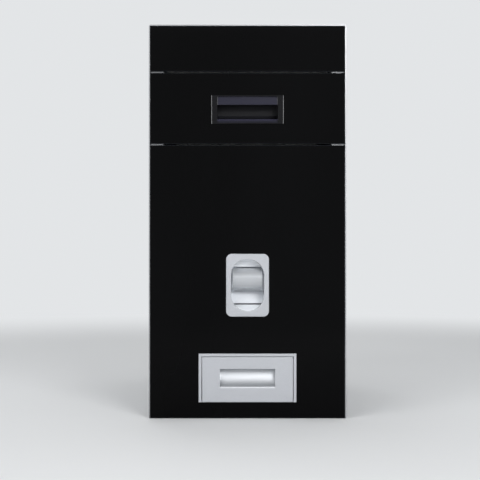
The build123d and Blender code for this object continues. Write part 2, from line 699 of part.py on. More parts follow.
# Pull handle: a black cup with a grip plate across its upper part and a lip along its lower edge
with BuildPart() as pull_handle:
    with BuildSketch(facing_front(front_y - HANDLE_FLANGE_PROUD)):
        with Locations((0, at_height(handle_centre))):
            RectangleRounded(HANDLE_FLANGE_WIDTH, HANDLE_FLANGE_HEIGHT, CORNER)
    extrude(amount=-HANDLE_FLANGE_PROUD)
    fillet(pull_handle.faces().sort_by(Axis.Y)[0].edges(), HANDLE_FLANGE_PROUD / 3)
    block(
        (-handle_cup_half, handle_cup_half),
        (front_y, at_depth(HANDLE_CUP_DEPTH + HANDLE_CUP_WALL)),
        (at_height(handle_centre - handle_cup_rise), at_height(handle_centre + handle_cup_rise)),
    )
    opening_low = at_height(handle_centre - HANDLE_OPENING_HEIGHT / 2)
    opening_high = at_height(handle_centre + HANDLE_OPENING_HEIGHT / 2)
    plate_low = opening_high - GRIP_PLATE_HEIGHT
    plate_front = front_y + GRIP_PLATE_SET_IN
    plate_back = plate_front + GRIP_PLATE_THICKNESS
    cup_back = at_depth(HANDLE_CUP_DEPTH)
    mouth = front_y - 2 * HANDLE_FLANGE_PROUD
    lip_top = opening_low + HANDLE_LIP_HEIGHT
    lip_back = plate_front + HANDLE_LIP_THICKNESS
    lip_round = HANDLE_LIP_THICKNESS / 2
    with BuildSketch(Plane.YZ.offset(-HANDLE_OPENING_WIDTH / 2)):
        with BuildLine():
            floor_back = opening_low + HANDLE_OPENING_HEIGHT / 3
            floor = Spline(
                (lip_back, opening_low + HANDLE_CUP_WALL / 2),
                (cup_back, floor_back),
                tangents=[(1, 0.12), (0.25, 1)],
            )
            Polyline(
                floor @ 1,
                (cup_back, opening_high - HANDLE_CUP_WALL),
                (plate_back, opening_high - HANDLE_CUP_WALL),
                (plate_back, plate_low),
                (plate_front, plate_low),
                (plate_front, opening_high),
                (mouth, opening_high),
                (mouth, opening_low),
                (plate_front, opening_low),
                (plate_front, lip_top - lip_round),
            )
            ThreePointArc(
                (plate_front, lip_top - lip_round),
                ((plate_front + lip_back) / 2, lip_top),
                (lip_back, lip_top - lip_round),
            )
            Line((lip_back, lip_top - lip_round), floor @ 0)
        make_face()
    extrude(amount=HANDLE_OPENING_WIDTH, mode=Mode.SUBTRACT)
pieces["pull_handle"] = pull_handle.part

# Lever surround: a silver plate with a pill-shaped mouth, and a rim that lines the hole in the glass
with BuildPart() as lever_bezel:
    with BuildSketch(facing_front(front_y)):
        with Locations((0, at_height(LEVER_PLATE_CENTRE))):
            RectangleRounded(LEVER_PLATE_WIDTH, LEVER_PLATE_HEIGHT, LEVER_PLATE_CORNER)
    extrude(amount=LEVER_PLATE_PROUD)
    with BuildSketch(facing_front(front_y)):
        with Locations((0, at_height(LEVER_PLATE_CENTRE))):
            SlotOverall(rim_height, rim_width, rotation=90)
    extrude(amount=-GLASS_THICKNESS)
    with BuildSketch(facing_front(front_y - LEVER_PLATE_PROUD)):
        with Locations((0, at_height(LEVER_PLATE_CENTRE))):
            SlotOverall(LEVER_PILL_HEIGHT, LEVER_PILL_WIDTH, rotation=90)
    extrude(amount=-LEVER_PLATE_PROUD - GLASS_THICKNESS, mode=Mode.SUBTRACT)
    fillet(lever_bezel.faces().sort_by(Axis.Y)[0].edges(), LEVER_PLATE_PROUD / 3)
pieces["lever_bezel"] = lever_bezel.part

# Lever cup: a box behind the glass. Its floor slopes up in two steps with a groove between them, a hollow hood
# closes it above the paddle, and its back has a slot for the arm
cup_half = LEVER_PILL_WIDTH / 2 + LEVER_RIM_WALL / 2
cup_low = at_height(LEVER_PLATE_CENTRE - LEVER_PILL_HEIGHT / 2)
cup_high = at_height(LEVER_PLATE_CENTRE + LEVER_PILL_HEIGHT / 2)
cup_floor_back = glass_back + LEVER_CUP_DEPTH
arm_slot_half = LEVER_ARM_WIDTH / 2 + LEVER_SLOT_GAP / 2
paddle_low = at_height(LEVER_PLATE_CENTRE) + PADDLE_DROP
paddle_high = paddle_low + PADDLE_HEIGHT
hood_low = paddle_high + LEVER_HOOD_GAP
hood_front = glass_back + LEVER_HOOD_DEPTH
floor_end = (glass_back + LEVER_FLOOR_DEPTH, cup_low + LEVER_FLOOR_RISE)
with BuildPart() as lever_cup:
    block(
        (-cup_half - LEVER_CUP_WALL, cup_half + LEVER_CUP_WALL),
        (glass_back, cup_floor_back + LEVER_CUP_WALL),
        (cup_low - LEVER_CUP_WALL, cup_high + LEVER_CUP_WALL),
    )
    block(
        (-cup_half - LEVER_CUP_FLANGE, cup_half + LEVER_CUP_FLANGE),
        (glass_back, glass_back + LEVER_CUP_WALL),
        (cup_low - LEVER_CUP_FLANGE, cup_high + LEVER_CUP_FLANGE),
    )
    with BuildSketch(Plane.YZ.offset(-cup_half)):
        with BuildLine():
            Polyline(
                (glass_back, cup_high),
                (glass_back, cup_low),
                (floor_end[0] - LEVER_RAMP_GROOVE / 2, floor_end[1] - LEVER_RAMP_GROOVE / 2),
                (floor_end[0] + LEVER_RAMP_GROOVE, floor_end[1] - LEVER_RAMP_GROOVE),
                (floor_end[0] + LEVER_RAMP_GROOVE / 2, floor_end[1] + LEVER_RAMP_GROOVE),
                (glass_back + LEVER_RAMP_DEPTH, cup_low + LEVER_RAMP_RISE),
                (cup_floor_back, cup_low + LEVER_RAMP_RISE),
                (cup_floor_back, hood_low),
                (hood_front, hood_low),
            )
            RadiusArc((hood_front, hood_low), (glass_back, cup_high), hood_low - cup_high)
        make_face()
    extrude(amount=2 * cup_half, mode=Mode.SUBTRACT)
    block(
        (-cup_half, cup_half),
        (hood_front + LEVER_CUP_WALL, cup_floor_back + 2 * LEVER_CUP_WALL),
        (hood_low + LEVER_CUP_WALL, cup_high),
        mode=Mode.SUBTRACT,
    )
    block(
        (-arm_slot_half, arm_slot_half),
        (cup_floor_back - LEVER_CUP_WALL, cup_floor_back + 2 * LEVER_CUP_WALL),
        (lever_z - LEVER_SLOT_DOWN, lever_z + LEVER_SLOT_UP),
        mode=Mode.SUBTRACT,
    )
pieces["lever_cup"] = lever_cup.part

# Shelf across the casing that carries the measuring unit
with BuildPart() as mechanism_shelf:
    block((-case_inside, case_inside), (meter_front, meter_back), (shelf_bottom, meter_floor))
    for side, sign in SIDES:
        block(
            side_span(sign, case_inside - SHEET, case_inside),
            (meter_front, meter_back),
            (shelf_bottom - SHELF_FLANGE, meter_floor),
        )
    block((-measure_half, measure_half), outlet_span, (shelf_bottom, meter_floor), mode=Mode.SUBTRACT)
    for y, z in shelf_screws:
        screw_hole((-case_half, case_half), y, z)
    with Locations(*((x, y, shelf_bottom) for x, y in foot_screws)):
        Cylinder(screw_hole_radius, 4 * SHEET, mode=Mode.SUBTRACT)
pieces["mechanism_shelf"] = mechanism_shelf.part

# Meter housing: a floor with the outlet, sides with ears for the lever shaft, and a back with a spring tab
spring_z = (slide_bottom + slide_top) / 2
spring_hole = SPRING_WIRE / 2 + SPRING_HOLE_CLEARANCE
spring_tab_reach = spring_hole + SPRING_TAB_EDGE
ear_radius = LEVER_SHAFT / 2 + 2 * METER_WALL
with BuildPart() as meter_housing:
    block((-meter_outside, meter_outside), (meter_front, meter_back), (meter_floor, meter_floor + METER_PLATE))
    block((-foot_outside, foot_outside), outlet_span, (meter_floor, meter_floor + METER_PLATE))
    with Locations(*((x, y, meter_floor) for x, y in foot_screws)):
        Cylinder(screw_hole_radius, 4 * METER_PLATE, mode=Mode.SUBTRACT)
    for side, sign in SIDES:
        block(
            side_span(sign, meter_inside, meter_outside),
            (meter_front, meter_back),
            (meter_floor, cover_bottom),
        )
        block(
            side_span(sign, meter_inside, meter_outside),
            (lever_y, meter_front + ear_radius),
            (meter_floor, lever_z + ear_radius),
        )
        with Locations((sign * (meter_inside + METER_WALL / 2), lever_y, lever_z)):
            Cylinder(ear_radius, METER_WALL, rotation=(0, 90, 0))
    block((-meter_inside, meter_inside), (meter_back_wall, meter_back), (meter_floor, cover_bottom))
    block(
        (-measure_half, measure_half),
        outlet_span,
        (meter_floor, meter_floor + METER_PLATE),
        mode=Mode.SUBTRACT,
    )
    housing_hook_y = meter_back_wall - spring_tab_reach
    block(
        (-spring_tab_reach, spring_tab_reach),
        (housing_hook_y - spring_tab_reach, meter_back_wall),
        (spring_z - SPRING_TAB / 2, spring_z + SPRING_TAB / 2),
    )
    with Locations((0, housing_hook_y, spring_z)):
        Cylinder(spring_hole, 2 * SPRING_TAB, mode=Mode.SUBTRACT)
    with Locations((0, lever_y, lever_z)):
        Cylinder(
            LEVER_SHAFT / 2 + RUNNING_CLEARANCE,
            3 * meter_outside,
            rotation=(0, 90, 0),
            mode=Mode.SUBTRACT,
        )
pieces["meter_housing"] = meter_housing.part

# Meter cover, with the inlet under the hopper's throat
with BuildPart() as meter_cover:
    block((-meter_outside, meter_outside), (meter_front, meter_back), (cover_bottom, cover_top))
    block((-measure_half, measure_half), inlet_span, (cover_bottom, cover_top), mode=Mode.SUBTRACT)
pieces["meter_cover"] = meter_cover.part

# Measuring slide: a box without top or floor, a shutter behind it, and two forked lugs for the crank pins
yoke_half_slot = CRANK_PIN / 2 + YOKE_CLEARANCE
yoke_inside = measure_half - YOKE_THICKNESS - SLIDE_WALL
yoke_front = pin_rest[0] - yoke_half_slot - YOKE_THICKNESS
slide_hook_y = slide_wall_back + spring_tab_reach
with BuildPart() as measuring_slide:
    block((-slide_half, slide_half), (slide_front, slide_wall_back), (slide_bottom, slide_top))
    block((-measure_half, measure_half), inlet_span, (slide_bottom, slide_top), mode=Mode.SUBTRACT)
    block((-slide_half, slide_half), (slide_wall_back, slide_back), (slide_top - SLIDE_WALL, slide_top))
    for side, sign in SIDES:
        block(
            side_span(sign, measure_half, slide_half),
            (slide_wall_back, slide_back),
            (slide_bottom, slide_top),
        )
        block(
            side_span(sign, yoke_inside, yoke_inside + YOKE_THICKNESS),
            (yoke_front, slide_front),
            (slide_top - YOKE_DROP, slide_top),
        )
        fork_top = lever_z + CRANK_RADIUS + yoke_half_slot
        block(
            side_span(sign, yoke_inside, yoke_inside + YOKE_THICKNESS),
            (pin_rest[0] - yoke_half_slot, pin_rest[0] + yoke_half_slot),
            (slide_top - 2 * YOKE_DROP, fork_top),
            mode=Mode.SUBTRACT,
        )
    block(
        (-spring_tab_reach, spring_tab_reach),
        (slide_wall_back, slide_hook_y + spring_tab_reach),
        (spring_z - SPRING_TAB / 2, spring_z + SPRING_TAB / 2),
    )
    with Locations((0, slide_hook_y, spring_z)):
        Cylinder(spring_hole, 2 * SPRING_TAB, mode=Mode.SUBTRACT)
pieces["measuring_slide"] = measuring_slide.part

# Return spring: an extension spring whose hooks pass through the slide's tab and the housing's tab
coil_start = slide_hook_y + SPRING_RADIUS
coil_length = housing_hook_y - slide_hook_y - 2 * SPRING_RADIUS
with BuildPart() as return_spring:
    with BuildLine() as coil:
        Helix(
            coil_length / SPRING_TURNS,
            coil_length,
            SPRING_RADIUS,
            center=(0, coil_start, spring_z),
            direction=(0, 1, 0),
        )
    with BuildSketch(Plane(coil.line @ 0, z_dir=coil.line % 0)):
        Circle(SPRING_WIRE / 2)
    sweep(path=coil.line, is_frenet=True)
    for end_y, apex_y in ((coil_start, slide_hook_y), (coil_start + coil_length, housing_hook_y)):
        with BuildLine() as hook:
            ThreePointArc(
                (0, end_y, spring_z + SPRING_RADIUS),
                (0, apex_y, spring_z),
                (0, end_y, spring_z - SPRING_RADIUS),
            )
        with BuildSketch(Plane(hook.line @ 0, z_dir=hook.line % 0)):
            Circle(SPRING_WIRE / 2)
        sweep(path=hook.line)
        with Locations((0, end_y, spring_z + SPRING_RADIUS)):
            Sphere(SPRING_WIRE / 2)
pieces["return_spring"] = return_spring.part

# Lever shaft with its clips
with BuildPart() as lever_shaft:
    with Locations((0, lever_y, lever_z)):
        Cylinder(LEVER_SHAFT / 2, 2 * shaft_half, rotation=(0, 90, 0))
pieces["lever_shaft"] = lever_shaft.part

with BuildPart() as shaft_clips:
    for side, sign in SIDES:
        with Locations((sign * (meter_outside + CLIP_THICKNESS), lever_y, lever_z)):
            Cylinder(CLIP_RADIUS, CLIP_THICKNESS, rotation=(0, 90, 0))
            Cylinder(
                LEVER_SHAFT / 2 + PRESS_CLEARANCE,
                CLIP_THICKNESS,
                rotation=(0, 90, 0),
                mode=Mode.SUBTRACT,
            )
pieces["shaft_clips"] = shaft_clips.part

# Lever: a rounded paddle in the cup, on an arm from the shaft
paddle_front = glass_back + PADDLE_SET_IN
paddle_back = paddle_front + PADDLE_THICKNESS
arm_end = (paddle_back - PADDLE_THICKNESS / 2, paddle_high - LEVER_ARM_DROP)
arm_run = Vector(lever_y - arm_end[0], lever_z - arm_end[1])
with BuildPart() as lever_paddle:
    with BuildSketch(Plane.YZ.offset(-PADDLE_WIDTH / 2)):
        with BuildLine():
            face = ThreePointArc(
                (paddle_front + PADDLE_BULGE + 1, paddle_high),
                (paddle_front, paddle_low + PADDLE_HEIGHT / 2),
                (paddle_front + PADDLE_BULGE, paddle_low),
            )
            Polyline(face @ 1, (paddle_back - 1, paddle_low + 1), (paddle_back, paddle_high - 1), face @ 0)
        make_face()
    extrude(amount=PADDLE_WIDTH)
    fillet(lever_paddle.edges().filter_by(Axis.X).sort_by(Axis.Y)[:2], CORNER)
    with BuildSketch(Plane.YZ.offset(-LEVER_ARM_WIDTH / 2)):
        with Locations(((lever_y + arm_end[0]) / 2, (lever_z + arm_end[1]) / 2)):
            Rectangle(arm_run.length, LEVER_ARM_THICKNESS, rotation=degrees(atan2(arm_run.Y, arm_run.X)))
    extrude(amount=LEVER_ARM_WIDTH)
    with Locations((0, lever_y, lever_z)):
        Cylinder(HUB_RADIUS, LEVER_ARM_WIDTH + HUB_RADIUS, rotation=(0, 90, 0))
        Cylinder(
            LEVER_SHAFT / 2 + PRESS_CLEARANCE,
            2 * LEVER_ARM_WIDTH,
            rotation=(0, 90, 0),
            mode=Mode.SUBTRACT,
        )
pieces["lever_paddle"] = lever_paddle.part

# Cranks on the shaft, and the pins that draw the measuring slide
crank_outside = yoke_inside - CRANK_SIDE_GAP
crank_inside = crank_outside - CRANK_THICKNESS
crank_middle = ((lever_y + pin_rest[0]) / 2, (lever_z + pin_rest[1]) / 2)
for side, sign in SIDES:
    with BuildPart() as crank:
        with BuildSketch(Plane.YZ.offset(min(sign * crank_inside, sign * crank_outside))):
            with Locations((lever_y, lever_z)):
                Circle(HUB_RADIUS)
            with Locations(pin_rest):
                Circle(CRANK_PIN)
            with Locations(crank_middle):
                Rectangle(1.5 * CRANK_PIN, CRANK_RADIUS, rotation=-LEVER_SWING / 2)
            with Locations((lever_y, lever_z)):
                Circle(LEVER_SHAFT / 2 + PRESS_CLEARANCE, mode=Mode.SUBTRACT)
            with Locations(pin_rest):
                Circle(CRANK_PIN / 2 + PRESS_CLEARANCE, mode=Mode.SUBTRACT)
        extrude(amount=CRANK_THICKNESS)
    pieces[f"crank_{side}"] = crank.part

pin_outside = yoke_inside + YOKE_THICKNESS + CRANK_SIDE_GAP
with BuildPart() as crank_pins:
    for side, sign in SIDES:
        with Locations((sign * (crank_inside + pin_outside) / 2, *pin_rest)):
            Cylinder(CRANK_PIN / 2, pin_outside - crank_inside, rotation=(0, 90, 0))
pieces["crank_pins"] = crank_pins.part

# Hopper: a box that funnels down to the meter's inlet; its rim rests on the casing
hopper_half = case_inside - HOPPER_SIDE_GAP
hopper_front = case_front + HOPPER_FRONT_GAP
hopper_back = case_back - SHEET - HOPPER_BACK_GAP
hopper_middle = (hopper_front + hopper_back) / 2
throat_middle = (inlet_span[0] + inlet_span[1]) / 2
funnel_bottom = cover_top + THROAT_HEIGHT
funnel_top = funnel_bottom + HOPPER_FUNNEL_HEIGHT
rim_top = case_top + RIM_THICKNESS
hinge_y = case_back - HINGE_SETBACK
hinge_z = rim_top + SEAL_HEIGHT + LID_HEIGHT / 2
hinge_x = (-HINGE_SPACING / 2, HINGE_SPACING / 2)
ear_inside = HINGE_KNUCKLE_WIDTH / 2 + HINGE_SIDE_GAP
ear_outside = ear_inside + HINGE_EAR_WIDTH
rim_front = hopper_front - RIM_LEDGE


def hopper_form(inset, mode):
    """The hopper's outside, or with an inset its inside: neck, funnel and box."""
    throat = (MEASURE_WIDTH + 2 * (HOPPER_WALL - inset), MEASURE_LENGTH + 2 * (HOPPER_WALL - inset))
    mouth = (2 * (hopper_half - inset), hopper_back - hopper_front - 2 * inset)
    with BuildSketch(Plane.XY.offset(cover_top)) as neck:
        with Locations((0, throat_middle)):
            Rectangle(*throat)
    extrude(neck.sketch, amount=THROAT_HEIGHT, mode=mode)
    with BuildSketch(Plane.XY.offset(funnel_bottom)) as low:
        with Locations((0, throat_middle)):
            Rectangle(*throat)
    with BuildSketch(Plane.XY.offset(funnel_top)) as high:
        with Locations((0, hopper_middle)):
            Rectangle(*mouth)
    loft([low.sketch, high.sketch], ruled=True, mode=mode)
    extrude(high.sketch, amount=rim_top - funnel_top, mode=mode)


with BuildPart() as hopper:
    hopper_form(0, Mode.ADD)
    block((-case_half, case_half), (rim_front, case_back), (case_top, rim_top))
    hopper_form(HOPPER_WALL, Mode.SUBTRACT)
    for x in hinge_x:
        for span in ((x - ear_outside, x - ear_inside), (x + ear_inside, x + ear_outside)):
            block(
                span,
                (hinge_y - HINGE_KNUCKLE_RADIUS, hinge_y + HINGE_KNUCKLE_RADIUS),
                (rim_top, hinge_z),
            )
            with Locations((sum(span) / 2, hinge_y, hinge_z)):
                Cylinder(HINGE_KNUCKLE_RADIUS, HINGE_EAR_WIDTH, rotation=(0, 90, 0))
    with Locations((0, hinge_y, hinge_z)):
        Cylinder(HINGE_PIN / 2 + PRESS_CLEARANCE, 2 * case_half, rotation=(0, 90, 0), mode=Mode.SUBTRACT)
pieces["hopper"] = hopper.part

with BuildPart() as hinge_pins:
    with Locations(*((x, hinge_y, hinge_z) for x in hinge_x)):
        Cylinder(HINGE_PIN / 2, 2 * ear_outside, rotation=(0, 90, 0))
pieces["hinge_pins"] = hinge_pins.part

# Lid: a shallow pan over the hopper, with a finger tab in front and two knuckles behind
lid_half = case_half - LID_SIDE_GAP
lid_front = rim_front + LID_SIDE_GAP
lid_back = hinge_y - LID_REAR_GAP
lid_bottom = rim_top + SEAL_HEIGHT
lid_top = lid_bottom + LID_HEIGHT
with BuildPart() as lid:
    block((-lid_half, lid_half), (lid_front, lid_back), (lid_bottom, lid_top))
    fillet(lid.edges().filter_by(Axis.Z), LID_CORNER)
    fillet(lid.faces().sort_by(Axis.Z)[-1].edges(), LID_WALL)
    block(
        (LID_WALL - lid_half, lid_half - LID_WALL),
        (lid_front + LID_WALL, lid_back - LID_WALL),
        (lid_bottom, lid_top - LID_WALL),
        mode=Mode.SUBTRACT,
    )
    tab_middle = (lid_bottom + lid_top) / 2
    block(
        (-LID_TAB_WIDTH / 2, LID_TAB_WIDTH / 2),
        (lid_front - LID_TAB_REACH, lid_front),
        (tab_middle, tab_middle + LID_WALL),
    )
    for x in hinge_x:
        knuckle_half = HINGE_KNUCKLE_WIDTH / 2
        block(
            (x - knuckle_half, x + knuckle_half),
            (lid_back, hinge_y),
            (hinge_z - HINGE_KNUCKLE_RADIUS, hinge_z + HINGE_KNUCKLE_RADIUS),
        )
        with Locations((x, hinge_y, hinge_z)):
            Cylinder(HINGE_KNUCKLE_RADIUS, HINGE_KNUCKLE_WIDTH, rotation=(0, 90, 0))
            Cylinder(
                HINGE_PIN / 2 + RUNNING_CLEARANCE,
                HINGE_KNUCKLE_WIDTH,
                rotation=(0, 90, 0),
                mode=Mode.SUBTRACT,
            )
pieces["lid"] = lid.part

# Rubber seal under the lid's edge
with BuildPart() as lid_seal:
    block((-lid_half, lid_half), (lid_front, lid_back), (rim_top, lid_bottom))
    fillet(lid_seal.edges().filter_by(Axis.Z), LID_CORNER)
    block(
        (SEAL_WIDTH - lid_half, lid_half - SEAL_WIDTH),
        (lid_front + SEAL_WIDTH, lid_back - SEAL_WIDTH),
        (rim_top, lid_bottom),
        mode=Mode.SUBTRACT,
    )
pieces["lid_seal"] = lid_seal.part

# Drawer sleeve on the carriage, open under the chute
tray_half = TRAY_FRONT_WIDTH / 2 - TRAY_BOX_INSET
tray_bottom = pan_top + SLEEVE_WALL + TRAY_BOX_GAP
tray_start = at_depth(TRAY_FRONT_THICKNESS - TRAY_FRONT_PROUD)
tray_end = tray_start + TRAY_BOX_LENGTH
tray_top = tray_bottom + TRAY_BOX_HEIGHT
sleeve_inside = tray_half + TRAY_BOX_GAP
sleeve_outside = sleeve_inside + SLEEVE_WALL
sleeve_top = at_height(tray_front_top) + SLEEVE_WALL
sleeve_back = tray_end + SLEEVE_BACK_GAP + SLEEVE_WALL
chute_out = (outlet_span[0] - CHUTE_WALL, outlet_span[1] + CHUTE_WALL)
window_half = CHUTE_FOOT_WIDTH / 2 + CHUTE_WALL
with BuildPart() as tray_sleeve:
    block((-sleeve_outside, sleeve_outside), (glass_back, sleeve_back), (pan_top, sleeve_top))
    block(
        (-sleeve_inside, sleeve_inside),
        (glass_back, sleeve_back - SLEEVE_WALL),
        (pan_top + SLEEVE_WALL, sleeve_top - SLEEVE_WALL),
        mode=Mode.SUBTRACT,
    )
    block((-window_half, window_half), chute_out, (sleeve_top - SLEEVE_WALL, sleeve_top), mode=Mode.SUBTRACT)
pieces["tray_sleeve"] = tray_sleeve.part

# Outlet chute from the shelf down to the drawer
chute_foot = sleeve_top + CHUTE_FOOT_GAP
with BuildPart() as outlet_chute:
    for wall, mode in ((CHUTE_WALL, Mode.ADD), (0, Mode.SUBTRACT)):
        length = MEASURE_LENGTH + 2 * wall
        with BuildSketch(Plane.XY.offset(chute_foot)) as foot:
            with Locations((0, sum(outlet_span) / 2)):
                Rectangle(CHUTE_FOOT_WIDTH + 2 * wall, length)
        with BuildSketch(Plane.XY.offset(shelf_bottom)) as head:
            with Locations((0, sum(outlet_span) / 2)):
                Rectangle(MEASURE_WIDTH + 2 * wall, length)
        loft([foot.sketch, head.sketch], ruled=True, mode=mode)
        if mode == Mode.ADD:
            block((-foot_outside, foot_outside), chute_out, (shelf_bottom - CHUTE_WALL, shelf_bottom))
    with Locations(*((x, y, shelf_bottom) for x, y in foot_screws)):
        Cylinder(screw_hole_radius, 4 * CHUTE_WALL, mode=Mode.SUBTRACT)
pieces["outlet_chute"] = outlet_chute.part

foot_top = Plane.XY.offset(meter_floor + METER_PLATE)
pieces["meter_screws"] = pan_head_screws(foot_top, foot_screws)

# Drawer surround: a silver bar over the top and down both sides, whose toes close the gap at the bottom
with BuildPart() as tray_bezel:
    with BuildSketch(facing_front(front_y)):
        bezel_high = tray_hole[1] + TRAY_BEZEL_BAR
        with Locations((0, at_height((TRAY_FRONT_BOTTOM + bezel_high) / 2))):
            Rectangle(2 * (tray_gap_half + TRAY_BEZEL_BAR), bezel_high - TRAY_FRONT_BOTTOM)
        with Locations((0, at_height((TRAY_FRONT_BOTTOM + tray_hole[1]) / 2))):
            Rectangle(2 * tray_gap_half, tray_hole[1] - TRAY_FRONT_BOTTOM, mode=Mode.SUBTRACT)
    extrude(amount=TRAY_BEZEL_PROUD)
    fillet(tray_bezel.faces().sort_by(Axis.Y)[0].edges(), TRAY_BEZEL_PROUD / 4)
    for sign in (-1, 1):
        block(
            side_span(sign, TRAY_FRONT_WIDTH / 2 + TRAY_BEZEL_TOE_GAP, tray_gap_half + TRAY_BEZEL_BAR / 2),
            (front_y - TRAY_FRONT_PROUD, front_y),
            (at_height(TRAY_FRONT_BOTTOM), at_height(TRAY_FRONT_BOTTOM + TRAY_BEZEL_TOE)),
        )
pieces["tray_bezel"] = tray_bezel.part

# Drawer front with a trough for the fingers: deepest under its roof, then forward in a long curve to a round lip
tray_face = front_y - TRAY_FRONT_PROUD
tray_middle = (TRAY_FRONT_BOTTOM + tray_front_top) / 2
grip_back = tray_face + TRAY_GRIP_DEPTH
with BuildPart() as tray_front:
    with BuildSketch(facing_front(tray_face)):
        with Locations((0, at_height(tray_middle))):
            Rectangle(TRAY_FRONT_WIDTH, TRAY_FRONT_HEIGHT)
    extrude(amount=-TRAY_FRONT_THICKNESS)
    fillet(tray_front.faces().sort_by(Axis.Y)[0].edges(), CORNER)
    grip_low = at_height(tray_middle + TRAY_GRIP_RAISE - TRAY_GRIP_HEIGHT / 2)
    grip_high = at_height(tray_middle + TRAY_GRIP_RAISE + TRAY_GRIP_HEIGHT / 2)
    block(
        (-TRAY_GRIP_WIDTH / 2 - TRAY_GRIP_WALL, TRAY_GRIP_WIDTH / 2 + TRAY_GRIP_WALL),
        (tray_face + TRAY_FRONT_THICKNESS / 2, grip_back + TRAY_GRIP_WALL),
        (grip_low - TRAY_GRIP_WALL, grip_high + TRAY_GRIP_WALL),
    )
    with BuildSketch(Plane.YZ.offset(-TRAY_GRIP_WIDTH / 2)):
        with BuildLine():
            curve_high = grip_high - TRAY_GRIP_ROUND
            roof_back = grip_back - TRAY_GRIP_ROUND
            RadiusArc((tray_face, grip_low), (grip_back, curve_high), -TRAY_GRIP_CURVE)
            RadiusArc((grip_back, curve_high), (roof_back, grip_high), -TRAY_GRIP_ROUND)
            Polyline((roof_back, grip_high), (tray_face, grip_high), (tray_face, grip_low))
        make_face()
    extrude(amount=TRAY_GRIP_WIDTH, mode=Mode.SUBTRACT)
    grip_lip = tray_front.edges().filter_by(Axis.X).filter_by_position(Axis.Z, grip_low - 0.1, grip_low + 0.1)
    fillet(grip_lip, TRAY_GRIP_LIP)
pieces["tray_front"] = tray_front.part

# Drawer box: the grain sits behind an inner wall that clears the grip
grain_start = grip_back + TRAY_GRIP_WALL + TRAY_BOX_GAP + TRAY_BOX_WALL
with BuildPart() as tray_box:
    block((-tray_half, tray_half), (tray_start, tray_end), (tray_bottom, tray_top))
    inside_half = tray_half - TRAY_BOX_WALL
    block(
        (-inside_half, inside_half),
        (grain_start, tray_end - TRAY_BOX_WALL),
        (tray_bottom + TRAY_BOX_WALL, tray_top),
        mode=Mode.SUBTRACT,
    )
    block(
        (-inside_half, inside_half),
        (tray_start, grain_start - TRAY_BOX_WALL),
        (tray_bottom + TRAY_BOX_WALL, tray_top),
        mode=Mode.SUBTRACT,
    )
    fillet(
        tray_box.edges().filter_by(Axis.Y).filter_by_position(Axis.Z, tray_bottom - 0.1, tray_bottom + 0.1),
        TRAY_BOX_WALL / 2,
    )
pieces["tray_box"] = tray_box.part

os.makedirs("parts", exist_ok=True)
for name, part in pieces.items():
    part.label = name
    export_step(part, f"parts/{name}.step")
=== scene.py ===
"""Finishes, small detail pieces, lights and camera for a built-in grain dispenser with a black glass front.

Lengths are in metres in the part's own frame: X to the right, Y to the back, Z up.
"""

import bpy
import numpy as np
from bpy.props import FloatProperty, FloatVectorProperty, IntProperty, PointerProperty
from bpy.types import Operator, Panel, PropertyGroup
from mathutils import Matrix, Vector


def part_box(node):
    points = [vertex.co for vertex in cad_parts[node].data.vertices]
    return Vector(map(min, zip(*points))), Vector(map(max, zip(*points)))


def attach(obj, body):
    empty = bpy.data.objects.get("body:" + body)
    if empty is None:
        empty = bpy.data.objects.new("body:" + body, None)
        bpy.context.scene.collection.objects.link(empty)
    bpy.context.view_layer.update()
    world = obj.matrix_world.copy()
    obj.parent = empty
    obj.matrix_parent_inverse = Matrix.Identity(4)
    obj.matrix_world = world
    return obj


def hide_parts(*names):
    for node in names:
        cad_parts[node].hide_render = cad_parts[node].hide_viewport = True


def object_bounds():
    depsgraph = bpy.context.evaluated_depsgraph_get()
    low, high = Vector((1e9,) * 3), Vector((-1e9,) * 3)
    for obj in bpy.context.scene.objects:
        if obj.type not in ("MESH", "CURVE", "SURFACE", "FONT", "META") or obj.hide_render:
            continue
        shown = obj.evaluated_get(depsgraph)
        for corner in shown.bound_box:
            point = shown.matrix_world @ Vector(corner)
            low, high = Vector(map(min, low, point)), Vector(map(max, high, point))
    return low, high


bl_info = {
    "name": "Grain Dispenser",
    "version": (1, 0, 0),
    "blender": (4, 5, 0),
    "location": "View3D > Sidebar > Dispenser",
    "description": "Dresses a built-in grain dispenser and sets up a plain studio round it",
    "category": "Object",
}

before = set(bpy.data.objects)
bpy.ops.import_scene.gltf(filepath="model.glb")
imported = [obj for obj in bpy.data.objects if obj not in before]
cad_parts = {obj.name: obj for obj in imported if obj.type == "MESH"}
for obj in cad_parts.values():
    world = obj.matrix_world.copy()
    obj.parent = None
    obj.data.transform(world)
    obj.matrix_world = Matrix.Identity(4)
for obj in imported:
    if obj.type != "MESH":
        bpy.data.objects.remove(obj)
cad_box = [list(corner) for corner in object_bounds()]


# Fixed places and sizes; a pair gives where a finish, a painted highlight or shade, or a row begins and ends

CRISP_EDGE = 0.0002
SHARP_ANGLE = np.radians(38)

HANDLE_CUP_DEPTH = (0.0018, 0.0040)
HANDLE_INSIDE_X = (0.0454, 0.0457)
GRIP_PLATE_Z = (0.4555, 0.4677)
GRIP_PLATE_END_HIGHLIGHT_X = (0.0442, 0.0447)
HANDLE_LIP_Z = (0.4285, 0.4335)
HANDLE_LIP_HIGHLIGHT_Z = (0.4322, 0.4332)
HANDLE_END_HIGHLIGHT_INSET = (0.0009, 0.0005)

LEVER_RIM_DEPTH = (0.0006, 0.0012)
LEVER_GROOVE_SHADE_Z = (0.1538, 0.1559)
LEVER_GROOVE_SHADE_FADE = 0.0003
LEVER_GROOVE_SHADE_END_X = (0.0235, 0.0245)

TROUGH_DEPTH = (0.0001, 0.0005)
TROUGH_TOP_Z = (0.060, 0.064)

LID_HINGE_REACH = 0.0105
LID_TAB_REACH = 0.0070
LID_TAB_TOP = 0.0025
LID_BEAD_CORNER = 0.020
TAB_RIB_REACH = 0.052
LEVEL_LINE_Z = (0.445, 0.525)
LEVEL_LINE_REACH = 0.070
HOPPER_BACK_Y = 0.2010

